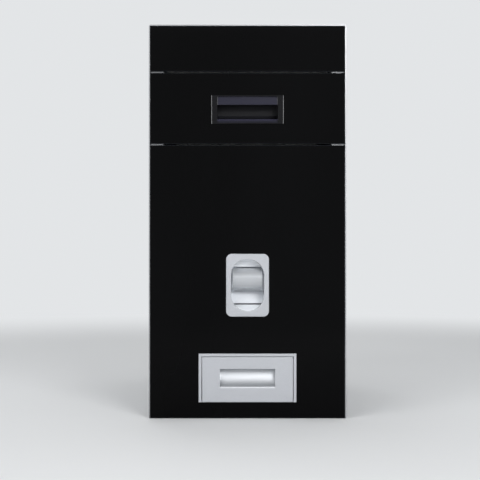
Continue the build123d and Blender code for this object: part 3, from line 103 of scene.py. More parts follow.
CASE_SIDE_X = 0.128
CASE_SCREWS_YZ = (
    (0.2105, 0.08365),
    (0.2105, 0.2695),
    (0.2105, 0.4819),
    (-0.172, 0.060),
    (0, 0.060),
    (0.172, 0.060),
    (-0.1714, 0.1755),
    (-0.0966, 0.1755),
)
FRAME_SCREW_X = 0.135
FRAME_SCREW_Y = -0.2185
FRAME_SCREWS_A_SIDE = 5
CASE_FOOT_Z = 0.004
CASE_HEIGHT = 0.531
METER_SCREW_X = 0.0764
METER_SCREW_Y = (-0.1696, -0.1556)
METER_SCREW_Z = 0.188
SCREW_TURN = 2.4

BOARD_HALF_X = 0.086
BOARD_HALF_Y = 0.205
BOARD_CORNER = 0.006
BOARD_BEVEL = 0.0006
FLOOR_GAP = 0.0005
FLOOR_RADII = (0.02, 0.5, 1.2, 3.0, 8.0, 30.0)
FLOOR_COLUMNS = 64
LAMPS_FACE = (0, 0, 0.28)


# What a user would change


def length(name, description, default):
    """A length in metres."""
    return FloatProperty(
        name=name, description=description, default=default, min=0, subtype="DISTANCE", unit="LENGTH"
    )


def coordinate(name, description, default):
    """A place along an axis in metres, of either sign."""
    return FloatProperty(name=name, description=description, default=default, unit="LENGTH")


def number(name, description, default, most):
    """How many, from 1 up."""
    return IntProperty(name=name, description=description, default=default, min=1, max=most)


def share(name, description, default):
    """A number from 0 to 1."""
    return FloatProperty(name=name, description=description, default=default, min=0, max=1, subtype="FACTOR")


def colour(name, description, default):
    """A linear colour."""
    return FloatVectorProperty(
        name=name, description=description, default=default, size=3, min=0, max=1, subtype="COLOR"
    )


def power(name, description, default):
    """A lamp's power in watts."""
    return FloatProperty(name=name, description=description, default=default, min=0, unit="POWER")


class DispenserSizes(PropertyGroup):
    """Sizes of the small pieces."""

    screw_head: length("Screw head", "Diameter of a pan head", 0.0076)
    screw_rise: length("Screw rise", "Height of a pan head", 0.002)
    screw_shank: length("Screw shank", "Diameter of a screw's shank", 0.004)
    screw_reach: length("Screw reach", "Length of a screw's shank", 0.005)
    recess_arm: length("Recess arm", "Reach of a cross recess from the middle of the head", 0.0021)
    recess_slot: length("Recess slot", "Width of a cross recess's arms", 0.0010)
    recess_depth: length("Recess depth", "Depth of a cross recess", 0.0011)
    lid_bead_inset: length("Lid bead inset", "From the lid's edge to the bead pressed on its top", 0.016)
    lid_bead_width: length("Lid bead width", "Width of the bead on the lid", 0.007)
    lid_bead_rise: length("Lid bead rise", "Height of the bead on the lid", 0.0012)
    tab_rib_width: length("Tab rib width", "Width of a grip rib on the lid's tab", 0.0012)
    tab_rib_rise: length("Tab rib rise", "Height of a grip rib on the lid's tab", 0.0007)
    tab_ribs: number("Tab ribs", "Grip ribs on the lid's tab", 3, 4)
    level_line_rise: length("Level line rise", "How far a level line stands off the hopper's wall", 0.0008)
    level_line_width: length("Level line width", "Width of a level line in the hopper", 0.0018)
    level_lines: number("Level lines", "Level lines in the hopper", 5, 8)


class DispenserColours(PropertyGroup):
    """Base colours of the finishes."""

    glass: colour("Glass", "Black paint behind the glass", (0.0014, 0.0014, 0.0016))
    glass_edge: colour("Glass edge", "Ground edge of the glass", (0.016, 0.018, 0.022))
    aluminium: colour("Aluminium", "Anodised frame", (0.36, 0.365, 0.375))
    silver: colour("Silver lacquer", "Flat faces of the lever plate and the drawer", (0.500, 0.514, 0.546))
    bright_silver: colour("Bright silver", "Polished lacquer of the lever and drawer", (0.66, 0.68, 0.71))
    handle: colour("Handle", "Black moulded handle", (0.0036, 0.0036, 0.0046))
    grip: colour("Grip plate", "Satin plate across the handle", (0.0228, 0.0225, 0.040))
    casing: colour("Casing", "Powder coat on the sheet steel", (0.46, 0.47, 0.48))
    zinc: colour("Zinc", "Plated runners, base and carriage", (0.60, 0.61, 0.63))
    steel: colour("Steel", "Screws, pins, rivets and balls", (0.64, 0.64, 0.65))
    white: colour("White plastic", "Hopper, lid, chute and drawer box", (0.74, 0.73, 0.69))
    grey: colour("Grey plastic", "Measuring unit", (0.20, 0.21, 0.22))
    rubber: colour("Rubber", "Seal and pads", (0.018, 0.018, 0.019))


class StudioSettings(PropertyGroup):
    """Camera, lamps and floor."""

    camera_distance: length("Camera distance", "From the glass to the camera", 1.7)
    view_width: length("View width", "Width of the picture at the glass", 0.722)
    aim_x: coordinate("Aim X", "X of the middle of the picture", -0.0113)
    aim_z: coordinate("Aim Z", "Z of the middle of the picture", 0.2520)
    key: power("Key", "Soft box in front, above and to the right", 29.0)
    fill: power("Fill", "Soft box high in front, to the left", 19.5)
    top: power("Top", "Soft box overhead", 12.0)
    rear: power("Rear", "Soft box behind", 18.0)
    strip: power("Strip", "Far strip in front, for polished bends", 6.0)
    surround: share("Surround", "Light from all round", 0.34)
    backdrop: share("Backdrop", "Brightness of the surroundings as seen", 0.80)
    overhead: share("Overhead", "Brightness of the surroundings as seen high up", 0.30)
    tint: colour("Tint", "Colour of the surroundings", (0.960, 0.981, 1.0))
    floor: colour("Floor", "Paper on the floor", (0.757, 0.766, 0.774))
    board: colour("Board", "Board under the base", (0.66, 0.65, 0.63))
    clear_floor: length("Clear floor", "How far the lit floor runs before it meets the surroundings", 1.1)


# Shader maths and nodes


class Wire:
    """An output socket of a finish; arithmetic on it adds Math nodes."""

    def __init__(self, finish, socket):
        self.finish = finish
        self.socket = socket

    def __add__(self, other):
        return self.finish.math("ADD", self, other)

    def __radd__(self, other):
        return self.finish.math("ADD", other, self)

    def __sub__(self, other):
        return self.finish.math("SUBTRACT", self, other)

    def __rsub__(self, other):
        return self.finish.math("SUBTRACT", other, self)

    def __mul__(self, other):
        return self.finish.math("MULTIPLY", self, other)

    def __rmul__(self, other):
        return self.finish.math("MULTIPLY", other, self)

    def __abs__(self):
        return self.finish.math("ABSOLUTE", self)

    def rise(self, low, high):
        """0 below low, 1 above high, a smooth step between."""
        return self.finish.node(
            "ShaderNodeMapRange",
            {"interpolation_type": "SMOOTHSTEP"},
            {"Value": self, "From Min": low, "From Max": high},
        )

    def within(self, low, high, soft):
        """1 from low to high, fading to 0 over the soft distance outside."""
        return self.rise(low - soft, low) * (1 - self.rise(high, high + soft))


class Finish:
    """A node tree in the making: a material with a Principled shader, or the world."""

    def __init__(self, owner):
        owner.use_nodes = True
        self.owner = owner
        self.tree = owner.node_tree
        self.tree.nodes.clear()

    @classmethod
    def named(cls, name):
        """Starts a material afresh, with wires for the place on the object and its X, Y and Z."""
        finish = cls(bpy.data.materials.get(name) or bpy.data.materials.new(name))
        finish.place = finish.node("ShaderNodeTexCoord", out="Object")
        finish.x, finish.y, finish.z = finish.parts(finish.place)
        return finish

    def node(self, kind, settings=None, sockets=None, out=0):
        """Adds a node with its settings and a value or wire for each socket; gives one output as a wire."""
        made = self.tree.nodes.new(kind)
        for key, value in (settings or {}).items():
            setattr(made, key, value)
        for key, value in (sockets or {}).items():
            target = made.inputs[key]
            if isinstance(value, Wire):
                self.tree.links.new(value.socket, target)
            elif target.type == "RGBA" and len(value) == 3:
                target.default_value = (*value, 1)
            else:
                target.default_value = value
        return Wire(self, made.outputs[out]) if len(made.outputs) else made

    def math(self, operation, *values):
        return self.node("ShaderNodeMath", {"operation": operation}, dict(enumerate(values)))

    def parts(self, vector):
        """The X, Y and Z of a vector."""
        first = self.node("ShaderNodeSeparateXYZ", sockets={0: vector})
        return [Wire(self, output) for output in first.socket.node.outputs]

    def facing(self):
        """The X, Y and Z of the surface's own normal."""
        return self.parts(self.node("ShaderNodeTexCoord", out="Normal"))

    def deeper_than(self, face, depth):
        """0 at a face that looks along -Y, rising to 1 between two depths behind it."""
        return self.y.rise(face + depth[0], face + depth[1])

    def stretched(self, scale):
        """Object coordinates times a scale along each axis."""
        return self.node("ShaderNodeMapping", sockets={"Vector": self.place, "Scale": scale})

    def noise(self, scale, detail=2.0, distortion=0.0):
        """Noise from 0 to 1; the scale, one number or one an axis, is in features a metre."""
        vector = self.stretched((scale,) * 3 if isinstance(scale, (int, float)) else scale)
        return self.node(
            "ShaderNodeTexNoise",
            sockets={"Vector": vector, "Scale": 1.0, "Detail": detail, "Distortion": distortion},
        )

    def cells(self, scale):
        """A random grey for each cell of a Voronoi pattern, cells a metre."""
        sockets = {"Vector": self.place, "Scale": scale}
        return self.parts(self.node("ShaderNodeTexVoronoi", sockets=sockets, out="Color"))[0]

    def mix(self, factor, first, second):
        """From the first colour to the second as the factor goes from 0 to 1."""
        return self.node("ShaderNodeMix", {"data_type": "RGBA"}, {0: factor, 6: first, 7: second}, out=2)

    def bump(self, height, strength, distance):
        """A normal tilted by a height that varies by this distance."""
        sockets = {"Height": height, "Strength": strength, "Distance": distance}
        return self.node("ShaderNodeBump", sockets=sockets)

    def shade(self, **sockets):
        """Ends the tree with a Principled shader; names use _ for a space."""
        named = {key.replace("_", " "): value for key, value in sockets.items()}
        surface = self.node("ShaderNodeBsdfPrincipled", sockets=named)
        self.node("ShaderNodeOutputMaterial", sockets={"Surface": surface})
        return self.owner


def tone(rgb, factor):
    """A colour made lighter or darker."""
    return tuple(min(1.0, channel * factor) for channel in rgb)


# Finishes


def painted_glass(colours):
    """Glass painted black behind: faint wipe marks, and a ground edge that shows a little grey."""
    finish = Finish.named("painted_glass")
    wipe = finish.noise((5, 5, 2.2), 3.0, 0.6)
    haze = finish.noise((60, 60, 22), 3.0)
    across = abs(finish.facing()[1])
    edge = 1 - across.rise(0.80, 0.98)
    face = finish.mix(wipe.rise(0.35, 0.75), colours.glass, tone(colours.glass, 1.5))
    return finish.shade(
        Base_Color=finish.mix(edge, face, colours.glass_edge),
        Roughness=0.035 + 0.05 * wipe * haze + 0.12 * edge,
        Specular_IOR_Level=0.06,
    )


def anodised(name, rgb, scale):
    """Drawn and anodised aluminium: fine streaks along the bar, where the scale is lowest."""
    finish = Finish.named(name)
    streak = finish.noise(scale, 4.0)
    cloud = finish.noise(14, 2.0)
    base = finish.mix(streak, tone(rgb, 0.90), tone(rgb, 1.10))
    return finish.shade(
        Base_Color=finish.mix(0.25 * cloud, base, tone(rgb, 0.84)),
        Metallic=0.82,
        Roughness=0.28 + 0.12 * streak,
        Normal=finish.bump(streak, 0.04, 0.0001),
    )


def lacquer(name, rgb, bright, mask_of, metal, gloss):
    """Silver lacquer on plastic: fine flakes under a clear coat; where the mask is 1, with its own sheen."""
    finish = Finish.named(name)
    polished = mask_of(finish)
    flake = finish.cells(2600)
    cloud = finish.noise(30, 3.0)
    peel = finish.noise(420, 1.0)
    satin = finish.mix(flake, tone(rgb, 0.93), tone(rgb, 1.06))
    satin = finish.mix(0.3 * cloud, satin, tone(rgb, 0.92))
    shine = finish.mix(flake, tone(bright, 0.97), tone(bright, 1.03))
    return finish.shade(
        Base_Color=finish.mix(polished, satin, shine),
        Metallic=0.18 + (metal - 0.18) * polished,
        Roughness=(0.36 + 0.06 * cloud) * (1 - polished) + gloss * polished,
        Coat_Weight=0.25 - 0.15 * polished,
        Coat_Roughness=0.06,
        Normal=finish.bump(peel, 0.05, 0.0004),
    )


def handle_plastic(colours):
    """Black moulded plastic: glossy flange, grain in the cup, satin grip plate and lip; the cup lightened as
    painted light, and painted highlights on the lip's top, the grip plate's ends and the flange's ends.
    """
    finish = Finish.named("handle_plastic")
    low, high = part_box("pull_handle")
    half = (high.x - low.x) / 2
    grain = finish.noise(1500, 2.0)
    cloud = finish.noise(40, 2.0)
    cup = finish.deeper_than(low.y, HANDLE_CUP_DEPTH)
    across = abs(finish.x)
    inside = (1 - across.rise(*HANDLE_INSIDE_X)) * (1 - cup)
    plate = inside * finish.z.within(*GRIP_PLATE_Z, CRISP_EDGE)
    lip = inside * finish.z.within(*HANDLE_LIP_Z, CRISP_EDGE)
    # Painted highlight: a light band along the lip's rounded top edge.
    lip_highlight = lip * finish.z.rise(*HANDLE_LIP_HIGHLIGHT_Z)
    # Painted highlights: grey lines at both ends of the grip plate.
    plate_end_highlights = plate * across.rise(*GRIP_PLATE_END_HIGHLIGHT_X)
    # Painted highlights: steel-grey strips along the flange's outer ends.
    ends = across.rise(half - HANDLE_END_HIGHLIGHT_INSET[0], half - HANDLE_END_HIGHLIGHT_INSET[1])
    base = finish.mix(cloud, tone(colours.handle, 0.9), tone(colours.handle, 1.3))
    # Painted light: the grained matte cup is also lightened well past the flange's black, to stand in for
    # light reaching inside it.
    base = finish.mix(cup, base, tone(colours.handle, 3.2))
    base = finish.mix(plate, base, colours.grip)
    base = finish.mix(lip, base, tone(colours.grip, 0.7))
    base = finish.mix(lip_highlight, base, tone(colours.grip, 5.5))
    base = finish.mix(0.5 * plate_end_highlights, base, tone(colours.steel, 0.3))
    return finish.shade(
        Base_Color=finish.mix(ends, base, tone(colours.steel, 0.4)),
        Roughness=0.16 + 0.16 * cup + 0.14 * plate + 0.05 * cloud,
        Specular_IOR_Level=0.15,
        Normal=finish.bump(grain * cup, 0.12, 0.0003),
    )


def powder_coat(colours):
    """Powder coat on sheet steel: orange peel, faint clouding, and scuffs that gather towards the floor."""
    finish = Finish.named("powder_coat")
    peel = finish.noise(620, 2.0)
    cloud = finish.noise(7, 3.0)
    scuff = finish.noise((160, 18, 160), 3.0).rise(0.62, 0.74) * (1 - finish.z.rise(0.03, 0.22))
    base = finish.mix(cloud, tone(colours.casing, 0.94), tone(colours.casing, 1.06))
    base = finish.mix(0.12 * peel, base, tone(colours.casing, 0.80))
    return finish.shade(
        Base_Color=finish.mix(0.35 * scuff, base, tone(colours.casing, 0.66)),
        Roughness=0.40 + 0.10 * cloud + 0.12 * scuff,
        Specular_IOR_Level=0.4,
        Normal=finish.bump(peel, 0.16, 0.0006),
    )


def zinc_plate(colours):
    """Bright zinc plate: spangled cells, a warm passivation cloud, and drawing lines along Y."""
    finish = Finish.named("zinc_plate")
    spangle = finish.cells(150)
    cloud = finish.noise(22, 3.0)
    line = finish.noise((900, 9, 900), 3.0)
    warm = (colours.zinc[0] * 1.04, colours.zinc[1], colours.zinc[2] * 0.90)
    base = finish.mix(cloud.rise(0.35, 0.70), colours.zinc, warm)
    base = finish.mix(0.35 * spangle, base, tone(colours.zinc, 0.72))
    return finish.shade(
        Base_Color=base,
        Metallic=0.9,
        Roughness=0.26 + 0.12 * spangle + 0.10 * line,
        Normal=finish.bump(line, 0.08, 0.0002),
    )


def bright_steel(colours):
    """Bright-plated steel: faint turning marks and handling haze."""
    finish = Finish.named("bright_steel")
    mark = finish.noise((2200, 300, 2200), 3.0)
    haze = finish.noise(120, 2.0)
    return finish.shade(
        Base_Color=finish.mix(mark, tone(colours.steel, 0.86), tone(colours.steel, 1.10)),
        Metallic=1.0,
        Roughness=0.16 + 0.12 * haze + 0.06 * mark,
        Normal=finish.bump(mark, 0.06, 0.0001),
    )


def moulded(name, rgb, grain_scale, roughness):
    """Moulded plastic: a fine eroded grain, clouded colour and slightly uneven gloss."""
    finish = Finish.named(name)
    grain = finish.noise(grain_scale, 2.0)
    cloud = finish.noise(11, 3.0, 0.4)
    base = finish.mix(cloud, tone(rgb, 0.96), tone(rgb, 1.04))
    return finish.shade(
        Base_Color=finish.mix(0.10 * grain, base, tone(rgb, 0.80)),
        Roughness=roughness + 0.08 * cloud,
        Specular_IOR_Level=0.28,
        Normal=finish.bump(grain, 0.10, 0.0003),
    )


def white_plastic(colours):
    """The moulded plastic that holds the grain."""
    return moulded("moulded_white", colours.white, 1300, 0.60)


def soft_rubber(colours):
    """Black rubber: dull, with a pale bloom in patches."""
    finish = Finish.named("soft_rubber")
    grain = finish.noise(900, 3.0)
    bloom = finish.noise(60, 3.0).rise(0.50, 0.75)
    return finish.shade(
        Base_Color=finish.mix(0.5 * bloom, colours.rubber, tone(colours.rubber, 2.2)),
        Roughness=0.62 + 0.18 * grain,
        Specular_IOR_Level=0.3,
        Normal=finish.bump(grain, 0.2, 0.0003),
    )


# Shapes


def skin(rings):
    """Joins closed rings of points, one a row, into a closed skin.

    Neighbouring rings are joined by quads, and the first and last ring by a fan to their own mean point.
    """
    rows, columns = rings.shape[:2]
    index = np.arange(rows * columns).reshape(rows, columns)
    beside = np.roll(index, -1, axis=1)
    quads = np.stack([index[:-1], beside[:-1], beside[1:], index[1:]], axis=-1).reshape(-1, 4)
    head = np.stack([beside[0], index[0], np.full(columns, rows * columns)], axis=-1)
    tail = np.stack([index[-1], beside[-1], np.full(columns, rows * columns + 1)], axis=-1)
    points = np.concatenate([rings.reshape(-1, 3), rings[0].mean(0)[None], rings[-1].mean(0)[None]])
    return points, quads, np.concatenate([head, tail])


def loop_skin(rings):
    """Joins closed rings of points along a closed path: quads all the way round both ways."""
    rows, columns = rings.shape[:2]
    index = np.arange(rows * columns).reshape(rows, columns)
    beside = np.roll(index, -1, axis=1)
    quads = np.stack([index, beside, np.roll(beside, -1, axis=0), np.roll(index, -1, axis=0)], axis=-1)
    return rings.reshape(-1, 3), quads.reshape(-1, 4), np.zeros((0, 3), int)


def copies(shape, places, axes):
    """Repeats a skin at each place, its own X, Y and Z along the rows of that place's axes."""
    points, quads, triangles = shape
    places, axes = np.asarray(places, float), np.asarray(axes, float)
    moved = np.einsum("vi,kij->kvj", points, axes) + places[:, None]
    step = (np.arange(len(places)) * len(points))[:, None, None]
    return moved.reshape(-1, 3), (quads + step).reshape(-1, 4), (triangles + step).reshape(-1, 3)


def cross_screw(sizes):
    """A pan-head screw with a cross recess, standing on Z = 0, as rings of radius and height over the angle.

    The recess's outline, at angle t from its nearest arm, is the lesser of arm / cos t and
    half slot / |sin t|. The dome's height falls with the square of the radius. The rings go from the
    recess's floor up its wall, over the dome from that outline out to a circle, down the rim, in under the
    head and down the shank.
    """
    arm, half_slot, radius = sizes.recess_arm, sizes.recess_slot / 2, sizes.screw_head / 2
    rise, reach, shank = sizes.screw_rise, sizes.screw_reach, sizes.screw_shank / 2
    dome_edge, dome_fall, rim_top, taper_start = 0.94 * radius, 0.42, 0.40 * rise, 0.86 * reach
    corner = np.arctan2(half_slot, arm)
    arm_turn = np.array([-np.pi / 4, -np.pi / 6, -corner, 0.0, corner, np.pi / 6])
    turn = (np.arange(4)[:, None] * np.pi / 2 + arm_turn).ravel()
    t = np.tile(arm_turn, 4)
    outline = np.minimum(arm / np.cos(t), half_slot / np.maximum(np.abs(np.sin(t)), 1e-9))
    spread = outline + (dome_edge - outline) * np.array([0.0, 0.08, 0.4, 0.7, 1.0])[:, None]
    dome = rise * (1 - dome_fall * (spread / radius) ** 2)
    floor = np.full_like(outline, rise - sizes.recess_depth)
    circle = np.ones_like(outline)
    outer = np.array([radius, radius, shank, shank, 0.6 * shank])[:, None] * circle
    outer_heights = np.array([rim_top, 0, 0, -taper_start, -reach])[:, None] * circle
    radii = np.stack([0.4 * outline, 0.8 * outline, *spread, *outer])
    heights = np.stack([floor, floor, *dome, *outer_heights])
    return skin(np.stack([radii * np.cos(turn), radii * np.sin(turn), heights], axis=-1)[:, ::-1])


def half_round(width, rise, columns=13):
    """A bar's section as (across, up): half an ellipse on a flat foot sunk a tenth of its rise."""
    turn = np.linspace(0, np.pi, columns)
    dome = np.stack([width / 2 * np.cos(turn), rise * np.sin(turn)], axis=-1)
    foot = np.array([[-width / 2, -0.1 * rise], [width / 2, -0.1 * rise]])
    return np.concatenate([dome, foot])


def bar(reach, width, rise):
    """A half-round bar along X; its section shrinks as the fourth root of 1 - s^8, s from end to end.

    s is the sine of an even sweep just short of -90 to 90 degrees, which gathers rings at the ends.
    """
    sweep = 0.498 * np.pi
    s = np.sin(np.linspace(-sweep, sweep, 24))
    swell = (1 - s**8) ** 0.25
    across, up = half_round(width, rise).T
    along = np.broadcast_to(s[:, None] * reach / 2, (len(s), len(up)))
    rings = np.stack([along, swell[:, None] * across, swell[:, None] * up], axis=-1)
    return skin(rings[:, ::-1])


def rounded_loop(half_x, half_y, corner, steps=10):
    """Points and outward directions round a rectangle: a quarter circle about each corner's centre."""
    turn = (np.arange(4)[:, None] * np.pi / 2 + np.linspace(0, np.pi / 2, steps)).ravel()
    outward = np.stack([np.cos(turn), np.sin(turn)], axis=-1)
    quarter = np.repeat([[1, 1], [-1, 1], [-1, -1], [1, -1]], steps, axis=0)
    centre = quarter * [half_x - corner, half_y - corner]
    return centre + corner * outward, outward


# Objects


def add_mesh(name, shape, material):
    """Puts a shape into a new mesh object at the origin, smooth but for its sharp edges."""
    earlier = bpy.data.objects.get(name)
    if earlier is not None:
        bpy.data.objects.remove(earlier)
    points, quads, triangles = shape
    mesh = bpy.data.meshes.new(name)
    mesh.from_pydata(points.tolist(), [], quads.tolist() + triangles.tolist())
    if mesh.validate():
        raise ValueError(f"{name}: its mesh has faults")
    mesh.polygons.foreach_set("use_smooth", np.ones(len(mesh.polygons), bool))
    mesh.set_sharp_from_angle(angle=SHARP_ANGLE)
    mesh.materials.append(material)
    piece = bpy.data.objects.new(name, mesh)
    bpy.context.scene.collection.objects.link(piece)
    return piece


def add_piece(name, shape, material, body):
    """A detail piece that rides on a body and takes its finish from a slot."""
    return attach(add_mesh(name, shape, material), body)


def dress(material, *names):
    """Gives CAD nodes a finish through their own material slots."""
    for name in names:
        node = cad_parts[name]
        if not node.material_slots:
            node.data.materials.append(material)
        for slot in node.material_slots:
            slot.material = material


# Operators


class DispenserStep:
    """What the operators share."""

    bl_options = {"REGISTER"}

    def execute(self, context):
        scene = context.scene
        self.build(scene.dispenser_sizes, scene.dispenser_colours, scene.dispenser_studio)
        return {"FINISHED"}


class DISPENSER_OT_glass_panels(DispenserStep, Operator):
    """Finish the fascia, handle and main glass"""

    bl_idname = "dispenser.glass_panels"
    bl_label = "Glass Panels"

    def build(self, sizes, colours, studio):
        dress(painted_glass(colours), "fascia_glass", "handle_glass", "main_glass")


class DISPENSER_OT_front_frame(DispenserStep, Operator):
    """Finish the aluminium stiles and rails, and the rubber pads behind them"""

    bl_idname = "dispenser.front_frame"
    bl_label = "Front Frame"

    def build(self, sizes, colours, studio):
        upright = anodised("anodised_upright", colours.aluminium, (700, 700, 9))
        level = anodised("anodised_level", colours.aluminium, (9, 700, 700))
        dress(upright, "frame_stile_left", "frame_stile_right")
        dress(level, "frame_top_rail", "frame_bottom_rail")
        dress(soft_rubber(colours), "door_pads")


class DISPENSER_OT_pull_handle(DispenserStep, Operator):
    """Finish the recessed pull handle"""

    bl_idname = "dispenser.pull_handle"
    bl_label = "Pull Handle"

    def build(self, sizes, colours, studio):
        dress(handle_plastic(colours), "pull_handle")


class DISPENSER_OT_lever_front(DispenserStep, Operator):
    """Finish the lever's plate, cup and paddle"""

    bl_idname = "dispenser.lever_front"
    bl_label = "Lever Front"

    def build(self, sizes, colours, studio):
        silver, bright = colours.silver, colours.bright_silver
        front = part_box("lever_bezel")[0].y

        def rim(finish):
            return finish.deeper_than(front, LEVER_RIM_DEPTH)

        def everywhere(finish):
            return 0.85 + 0.15 * finish.noise(40, 2.0)

        # Painted shade: the groove at the foot of the cup's ramp is darkened to the cup's dark satin silver,
        # standing in for the shade in it.
        def but_groove_shade(finish):
            level = finish.z.within(*LEVER_GROOVE_SHADE_Z, LEVER_GROOVE_SHADE_FADE)
            groove_shade = level * (1 - abs(finish.x).rise(*LEVER_GROOVE_SHADE_END_X))
            return (0.96 + 0.04 * finish.noise(40, 2.0)) * (1 - groove_shade)

        plate = lacquer("lever_plate_lacquer", silver, bright, rim, 0.30, 0.26)
        cup = lacquer("lever_cup_lacquer", tone(silver, 0.35), tone(bright, 1.34), but_groove_shade, 0.05, 0.22)
        paddle = lacquer("lever_paddle_lacquer", silver, tone(bright, 0.82), everywhere, 0.38, 0.15)
        dress(plate, "lever_bezel")
        dress(cup, "lever_cup")
        dress(paddle, "lever_paddle")


class DISPENSER_OT_grain_drawer(DispenserStep, Operator):
    """Finish the drawer's surround, front, box and sleeve"""

    bl_idname = "dispenser.grain_drawer"
    bl_label = "Grain Drawer"

    def build(self, sizes, colours, studio):
        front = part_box("tray_front")[0].y

        def trough(finish):
            return finish.deeper_than(front, TROUGH_DEPTH) * (1 - finish.z.rise(*TROUGH_TOP_Z))

        satin, polished = tone(colours.silver, 1.05), tone(colours.bright_silver, 0.82)
        lacquered = lacquer("drawer_lacquer", satin, polished, trough, 1.0, 0.47)
        dress(lacquered, "tray_front", "tray_bezel")
        dress(white_plastic(colours), "tray_box", "tray_sleeve")


class DISPENSER_OT_casing(DispenserStep, Operator):
    """Finish the sheet-steel casing and shelf"""

    bl_idname = "dispenser.casing"
    bl_label = "Casing"

    def build(self, sizes, colours, studio):
        dress(powder_coat(colours), "side_panel_left", "side_panel_right", "back_panel", "mechanism_shelf")


class DISPENSER_OT_runners(DispenserStep, Operator):
    """Finish the base, carriage, rails, cages and rivets"""

    bl_idname = "dispenser.runners"
    bl_label = "Runners"

    def build(self, sizes, colours, studio):
        rails = [f"{rail}_rail_{side}" for rail in ("outer", "middle", "inner") for side in ("left", "right")]
        dress(zinc_plate(colours), "base_frame", "carriage", *rails)
        dress(bright_steel(colours), "base_rivets", "carriage_rivets", "outer_ball_cages", "inner_ball_cages")


class DISPENSER_OT_hopper(DispenserStep, Operator):
    """Finish the hopper, lid and chute; add the lid's bead, the tab's ribs and the hopper's level lines"""

    bl_idname = "dispenser.hopper"
    bl_label = "Hopper and Lid"

    def build(self, sizes, colours, studio):
        white = white_plastic(colours)
        dress(white, "hopper", "lid", "outlet_chute")
        dress(soft_rubber(colours), "lid_seal")
        dress(bright_steel(colours), "hinge_pins")
        self.lid_bead(sizes, white)
        self.tab_ribs(sizes, white)
        self.level_lines(sizes, white)

    def lid_bead(self, sizes, white):
        """A half-round bead carried round a rounded rectangle on the lid's top."""
        low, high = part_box("lid")
        back, front = high.y - LID_HINGE_REACH, low.y + LID_TAB_REACH
        inset = sizes.lid_bead_inset
        path, outward = rounded_loop(high.x - inset, (back - front) / 2 - inset, LID_BEAD_CORNER)
        path = path + [0, (back + front) / 2]
        across, up = half_round(sizes.lid_bead_width, sizes.lid_bead_rise).T
        ground = path[:, None] + outward[:, None] * across[None, :, None]
        height = np.broadcast_to(high.z + up[:, None], (len(path), len(up), 1))
        rings = np.concatenate([ground, height], axis=-1)
        add_piece("lid_bead", loop_skin(rings[:, ::-1]), white, "lid")

    def tab_ribs(self, sizes, white):
        """Half-round bars side by side across the lid's finger tab."""
        low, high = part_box("lid")
        count = sizes.tab_ribs
        y = low.y + LID_TAB_REACH * (np.arange(count) + 0.5) / count
        places = np.stack([0 * y, y, np.full(count, (low.z + high.z) / 2 + LID_TAB_TOP)], axis=-1)
        rib = bar(TAB_RIB_REACH, sizes.tab_rib_width, sizes.tab_rib_rise)
        shape = copies(rib, places, np.tile(np.eye(3), (count, 1, 1)))
        add_piece("lid_tab_ribs", shape, white, "lid")

    def level_lines(self, sizes, white):
        """Half-round bars one above the other inside the hopper's back wall."""
        count = sizes.level_lines
        z = np.linspace(*LEVEL_LINE_Z, count)
        places = np.stack([0 * z, np.full(count, HOPPER_BACK_Y), z], axis=-1)
        line = bar(LEVEL_LINE_REACH, sizes.level_line_width, sizes.level_line_rise)
        axes = np.tile([[1.0, 0, 0], [0, 0, 1.0], [0, -1.0, 0]], (count, 1, 1))
        add_piece("hopper_level_lines", copies(line, places, axes), white, "bin")


class DISPENSER_OT_measuring_unit(DispenserStep, Operator):
    """Finish the measuring unit, its shaft, cranks and spring"""

    bl_idname = "dispenser.measuring_unit"
    bl_label = "Measuring Unit"

    def build(self, sizes, colours, studio):
        grey = moulded("moulded_grey", colours.grey, 1100, 0.42)
        dress(grey, "meter_housing", "meter_cover", "measuring_slide", "crank_left", "crank_right")
        dress(bright_steel(colours), "lever_shaft", "shaft_clips", "crank_pins", "return_spring")


class DISPENSER_OT_screws(DispenserStep, Operator):
    """Put cross-recessed pan heads in place of the plain screws"""

    bl_idname = "dispenser.screws"
    bl_label = "Screws"

    def build(self, sizes, colours, studio):
        steel = bright_steel(colours)
        screw = cross_screw(sizes)
        for name, sign in (("left", -1), ("right", 1)):
            places = np.insert(np.array(CASE_SCREWS_YZ), 0, sign * CASE_SIDE_X, axis=1)
            axes = [[0, sign, 0], [0, 0, 1], [sign, 0, 0]]
            self.row(f"case_screws_{name}", screw, places, axes, steel)
        count = FRAME_SCREWS_A_SIDE
        z = np.tile(CASE_FOOT_Z + CASE_HEIGHT * (np.arange(count) + 0.5) / count, 2)
        x = np.repeat([-FRAME_SCREW_X, FRAME_SCREW_X], count)
        behind = np.stack([x, np.full(2 * count, FRAME_SCREW_Y), z], axis=-1)
        self.row("frame_screws", screw, behind, [[-1, 0, 0], [0, 0, 1], [0, 1, 0]], steel)
        feet = [[side, y, METER_SCREW_Z] for side in (-METER_SCREW_X, METER_SCREW_X) for y in METER_SCREW_Y]
        self.row("meter_screws", screw, feet, np.eye(3), steel)

    def row(self, node, screw, places, axes, steel):
        """Screws at these places, each turned by its own angle, in place of a CAD node."""
        axes = np.asarray(axes, float)
        turn = SCREW_TURN * np.arange(len(places))
        first = np.cos(turn)[:, None] * axes[0] + np.sin(turn)[:, None] * axes[1]
        second = np.cos(turn)[:, None] * axes[1] - np.sin(turn)[:, None] * axes[0]
        up = np.broadcast_to(axes[2], first.shape)
        shape = copies(screw, places, np.stack([first, second, up], axis=1))
        piece = add_piece(f"cross_{node}", shape, steel, "bin")
        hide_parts(node)


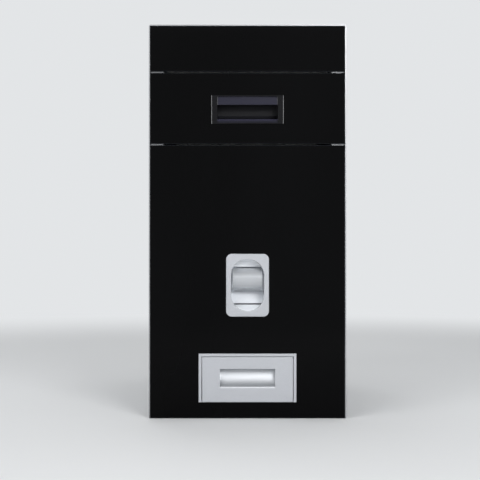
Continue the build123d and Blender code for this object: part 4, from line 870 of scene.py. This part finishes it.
class DISPENSER_OT_stage(DispenserStep, Operator):
    """Set up the floor, the board under the base, the lamps, the surroundings and the camera"""

    bl_idname = "dispenser.stage"
    bl_label = "Stage"

    def build(self, sizes, colours, studio):
        self.floor(studio)
        self.board(studio)
        self.lamps(studio)
        self.surroundings(studio)
        self.camera(studio)
        bpy.context.scene.view_settings.view_transform = "Standard"

    def floor(self, studio):
        """A flat disc of paper in rings, which takes the colour of the surroundings further out."""
        finish = Finish.named("stage_paper")
        fibre = finish.noise(900, 2.0)
        cloud = finish.noise(1.5, 2.0)
        far = finish.math("SQRT", finish.x * finish.x + finish.y * finish.y)
        base = finish.mix(cloud, tone(studio.floor, 0.985), tone(studio.floor, 1.015))
        bumpy = finish.bump(fibre, 0.03, 0.0002)
        paper = finish.node("ShaderNodeBsdfDiffuse", sockets={"Color": base, "Normal": bumpy})
        level = tone(studio.tint, studio.backdrop)
        away = finish.node("ShaderNodeEmission", sockets={"Color": level, "Strength": 1.0})
        meet = far.rise(studio.clear_floor, 2 * studio.clear_floor)
        surface = finish.node("ShaderNodeMixShader", sockets={0: meet, 1: paper, 2: away})
        finish.node("ShaderNodeOutputMaterial", sockets={"Surface": surface})
        turn = np.linspace(0, 2 * np.pi, FLOOR_COLUMNS, endpoint=False)
        radius = np.array(FLOOR_RADII)[:, None]
        height = np.full((len(radius), len(turn)), cad_box[0][2] - FLOOR_GAP)
        rings = np.stack([radius * np.cos(turn), radius * np.sin(turn), height], axis=-1)
        points, quads, triangles = skin(rings)
        shape = points, quads[:, ::-1], triangles[:FLOOR_COLUMNS, ::-1]
        add_mesh("stage_floor", shape, finish.owner)

    def board(self, studio):
        """A board between the floor and the base: a rounded rectangle carried up in four rings."""
        finish = Finish.named("stage_board")
        cloud = finish.noise((30, 4, 30), 3.0)
        material = finish.shade(
            Base_Color=finish.mix(cloud, tone(studio.board, 0.95), tone(studio.board, 1.04)),
            Roughness=0.6 + 0.1 * cloud,
        )
        outline, outward = rounded_loop(BOARD_HALF_X, BOARD_HALF_Y, BOARD_CORNER)
        inset = np.array([BOARD_BEVEL, 0.0, 0.0, BOARD_BEVEL])[:, None, None]
        floor = cad_box[0][2]
        height = np.array([floor, floor + BOARD_BEVEL, -BOARD_BEVEL, 0.0])[:, None, None]
        ground = outline - inset * outward
        rings = np.concatenate([ground, np.broadcast_to(height, (*ground.shape[:2], 1))], axis=-1)
        add_mesh("stage_board", skin(rings), material)

    def lamps(self, studio):
        """Soft boxes that face the middle of the object, and a far strip for polished bends."""
        middle = Vector(LAMPS_FACE)
        boxes = (
            ("key", (0.84, -2.30, 1.27), (0.9, 0.9), studio.key),
            ("fill", (-1.2, -1.8, 2.0), (1.4, 1.4), studio.fill),
            ("top", (0.1, 0.25, 2.30), (1.6, 1.6), studio.top),
            ("rear", (-1.0, 2.6, 1.6), (1.8, 1.8), studio.rear),
            ("strip", (0.0, -6.2, 1.95), (3.0, 0.45), studio.strip),
        )
        for name, place, (wide, high), watts in boxes:
            lamp = bpy.data.lights.new(f"{name}_soft_box", "AREA")
            lamp.shape = "RECTANGLE"
            lamp.size = wide
            lamp.size_y = high
            lamp.energy = watts
            holder = bpy.data.objects.new(lamp.name, lamp)
            holder.location = place
            holder.rotation_euler = (middle - holder.location).to_track_quat("-Z", "Y").to_euler()
            bpy.context.scene.collection.objects.link(holder)

    def surroundings(self, studio):
        """Even light from all round; seen or mirrored, the surroundings are pale, and greyer overhead."""
        world = bpy.context.scene.world or bpy.data.worlds.new("surroundings")
        bpy.context.scene.world = world
        finish = Finish(world)
        seen = finish.node("ShaderNodeLightPath", out="Is Camera Ray")
        rays = seen.socket.node.outputs
        for name in ("Is Glossy Ray", "Is Transmission Ray"):
            seen = finish.math("MAXIMUM", seen, Wire(finish, rays[name]))
        high = finish.parts(finish.node("ShaderNodeTexCoord", out="Generated"))[2].rise(0.22, 0.80)
        shown = studio.backdrop + (studio.overhead - studio.backdrop) * high
        strength = studio.surround + (shown - studio.surround) * seen
        light = finish.node("ShaderNodeBackground", sockets={"Color": studio.tint, "Strength": strength})
        finish.node("ShaderNodeOutputWorld", sockets={"Surface": light})

    def camera(self, studio):
        """A level camera straight in front of the glass; the lens follows from distance and view width."""
        lens = bpy.data.cameras.new("camera")
        lens.sensor_width = 36
        lens.lens = lens.sensor_width * studio.camera_distance / studio.view_width
        lens.clip_end = 100
        camera = bpy.data.objects.new("camera", lens)
        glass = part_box("main_glass")[0].y
        camera.location = (studio.aim_x, glass - studio.camera_distance, studio.aim_z)
        camera.rotation_euler = (np.pi / 2, 0, 0)
        bpy.context.scene.collection.objects.link(camera)
        bpy.context.scene.camera = camera


class DISPENSER_PT_sidebar(Panel):
    """The steps, in order"""

    bl_idname = "DISPENSER_PT_sidebar"
    bl_label = "Grain Dispenser"
    bl_space_type = "VIEW_3D"
    bl_region_type = "UI"
    bl_category = "Dispenser"

    def draw(self, context):
        for step in STEPS:
            self.layout.operator(step.bl_idname)


STEPS = (
    DISPENSER_OT_glass_panels,
    DISPENSER_OT_front_frame,
    DISPENSER_OT_pull_handle,
    DISPENSER_OT_lever_front,
    DISPENSER_OT_grain_drawer,
    DISPENSER_OT_casing,
    DISPENSER_OT_runners,
    DISPENSER_OT_hopper,
    DISPENSER_OT_measuring_unit,
    DISPENSER_OT_screws,
    DISPENSER_OT_stage,
)
SETTINGS = (DispenserSizes, DispenserColours, StudioSettings)


def register():
    for cls in (*SETTINGS, *STEPS, DISPENSER_PT_sidebar):
        bpy.utils.register_class(cls)
    bpy.types.Scene.dispenser_sizes = PointerProperty(type=DispenserSizes)
    bpy.types.Scene.dispenser_colours = PointerProperty(type=DispenserColours)
    bpy.types.Scene.dispenser_studio = PointerProperty(type=StudioSettings)


def unregister():
    del bpy.types.Scene.dispenser_sizes, bpy.types.Scene.dispenser_colours, bpy.types.Scene.dispenser_studio
    for cls in reversed((*SETTINGS, *STEPS, DISPENSER_PT_sidebar)):
        bpy.utils.unregister_class(cls)


def main():
    register()
    steps = bpy.ops.dispenser
    steps.glass_panels()
    steps.front_frame()
    steps.pull_handle()
    steps.lever_front()
    steps.grain_drawer()
    steps.casing()
    steps.runners()
    steps.hopper()
    steps.measuring_unit()
    steps.screws()
    steps.stage()


if __name__ == "__main__":
    main()
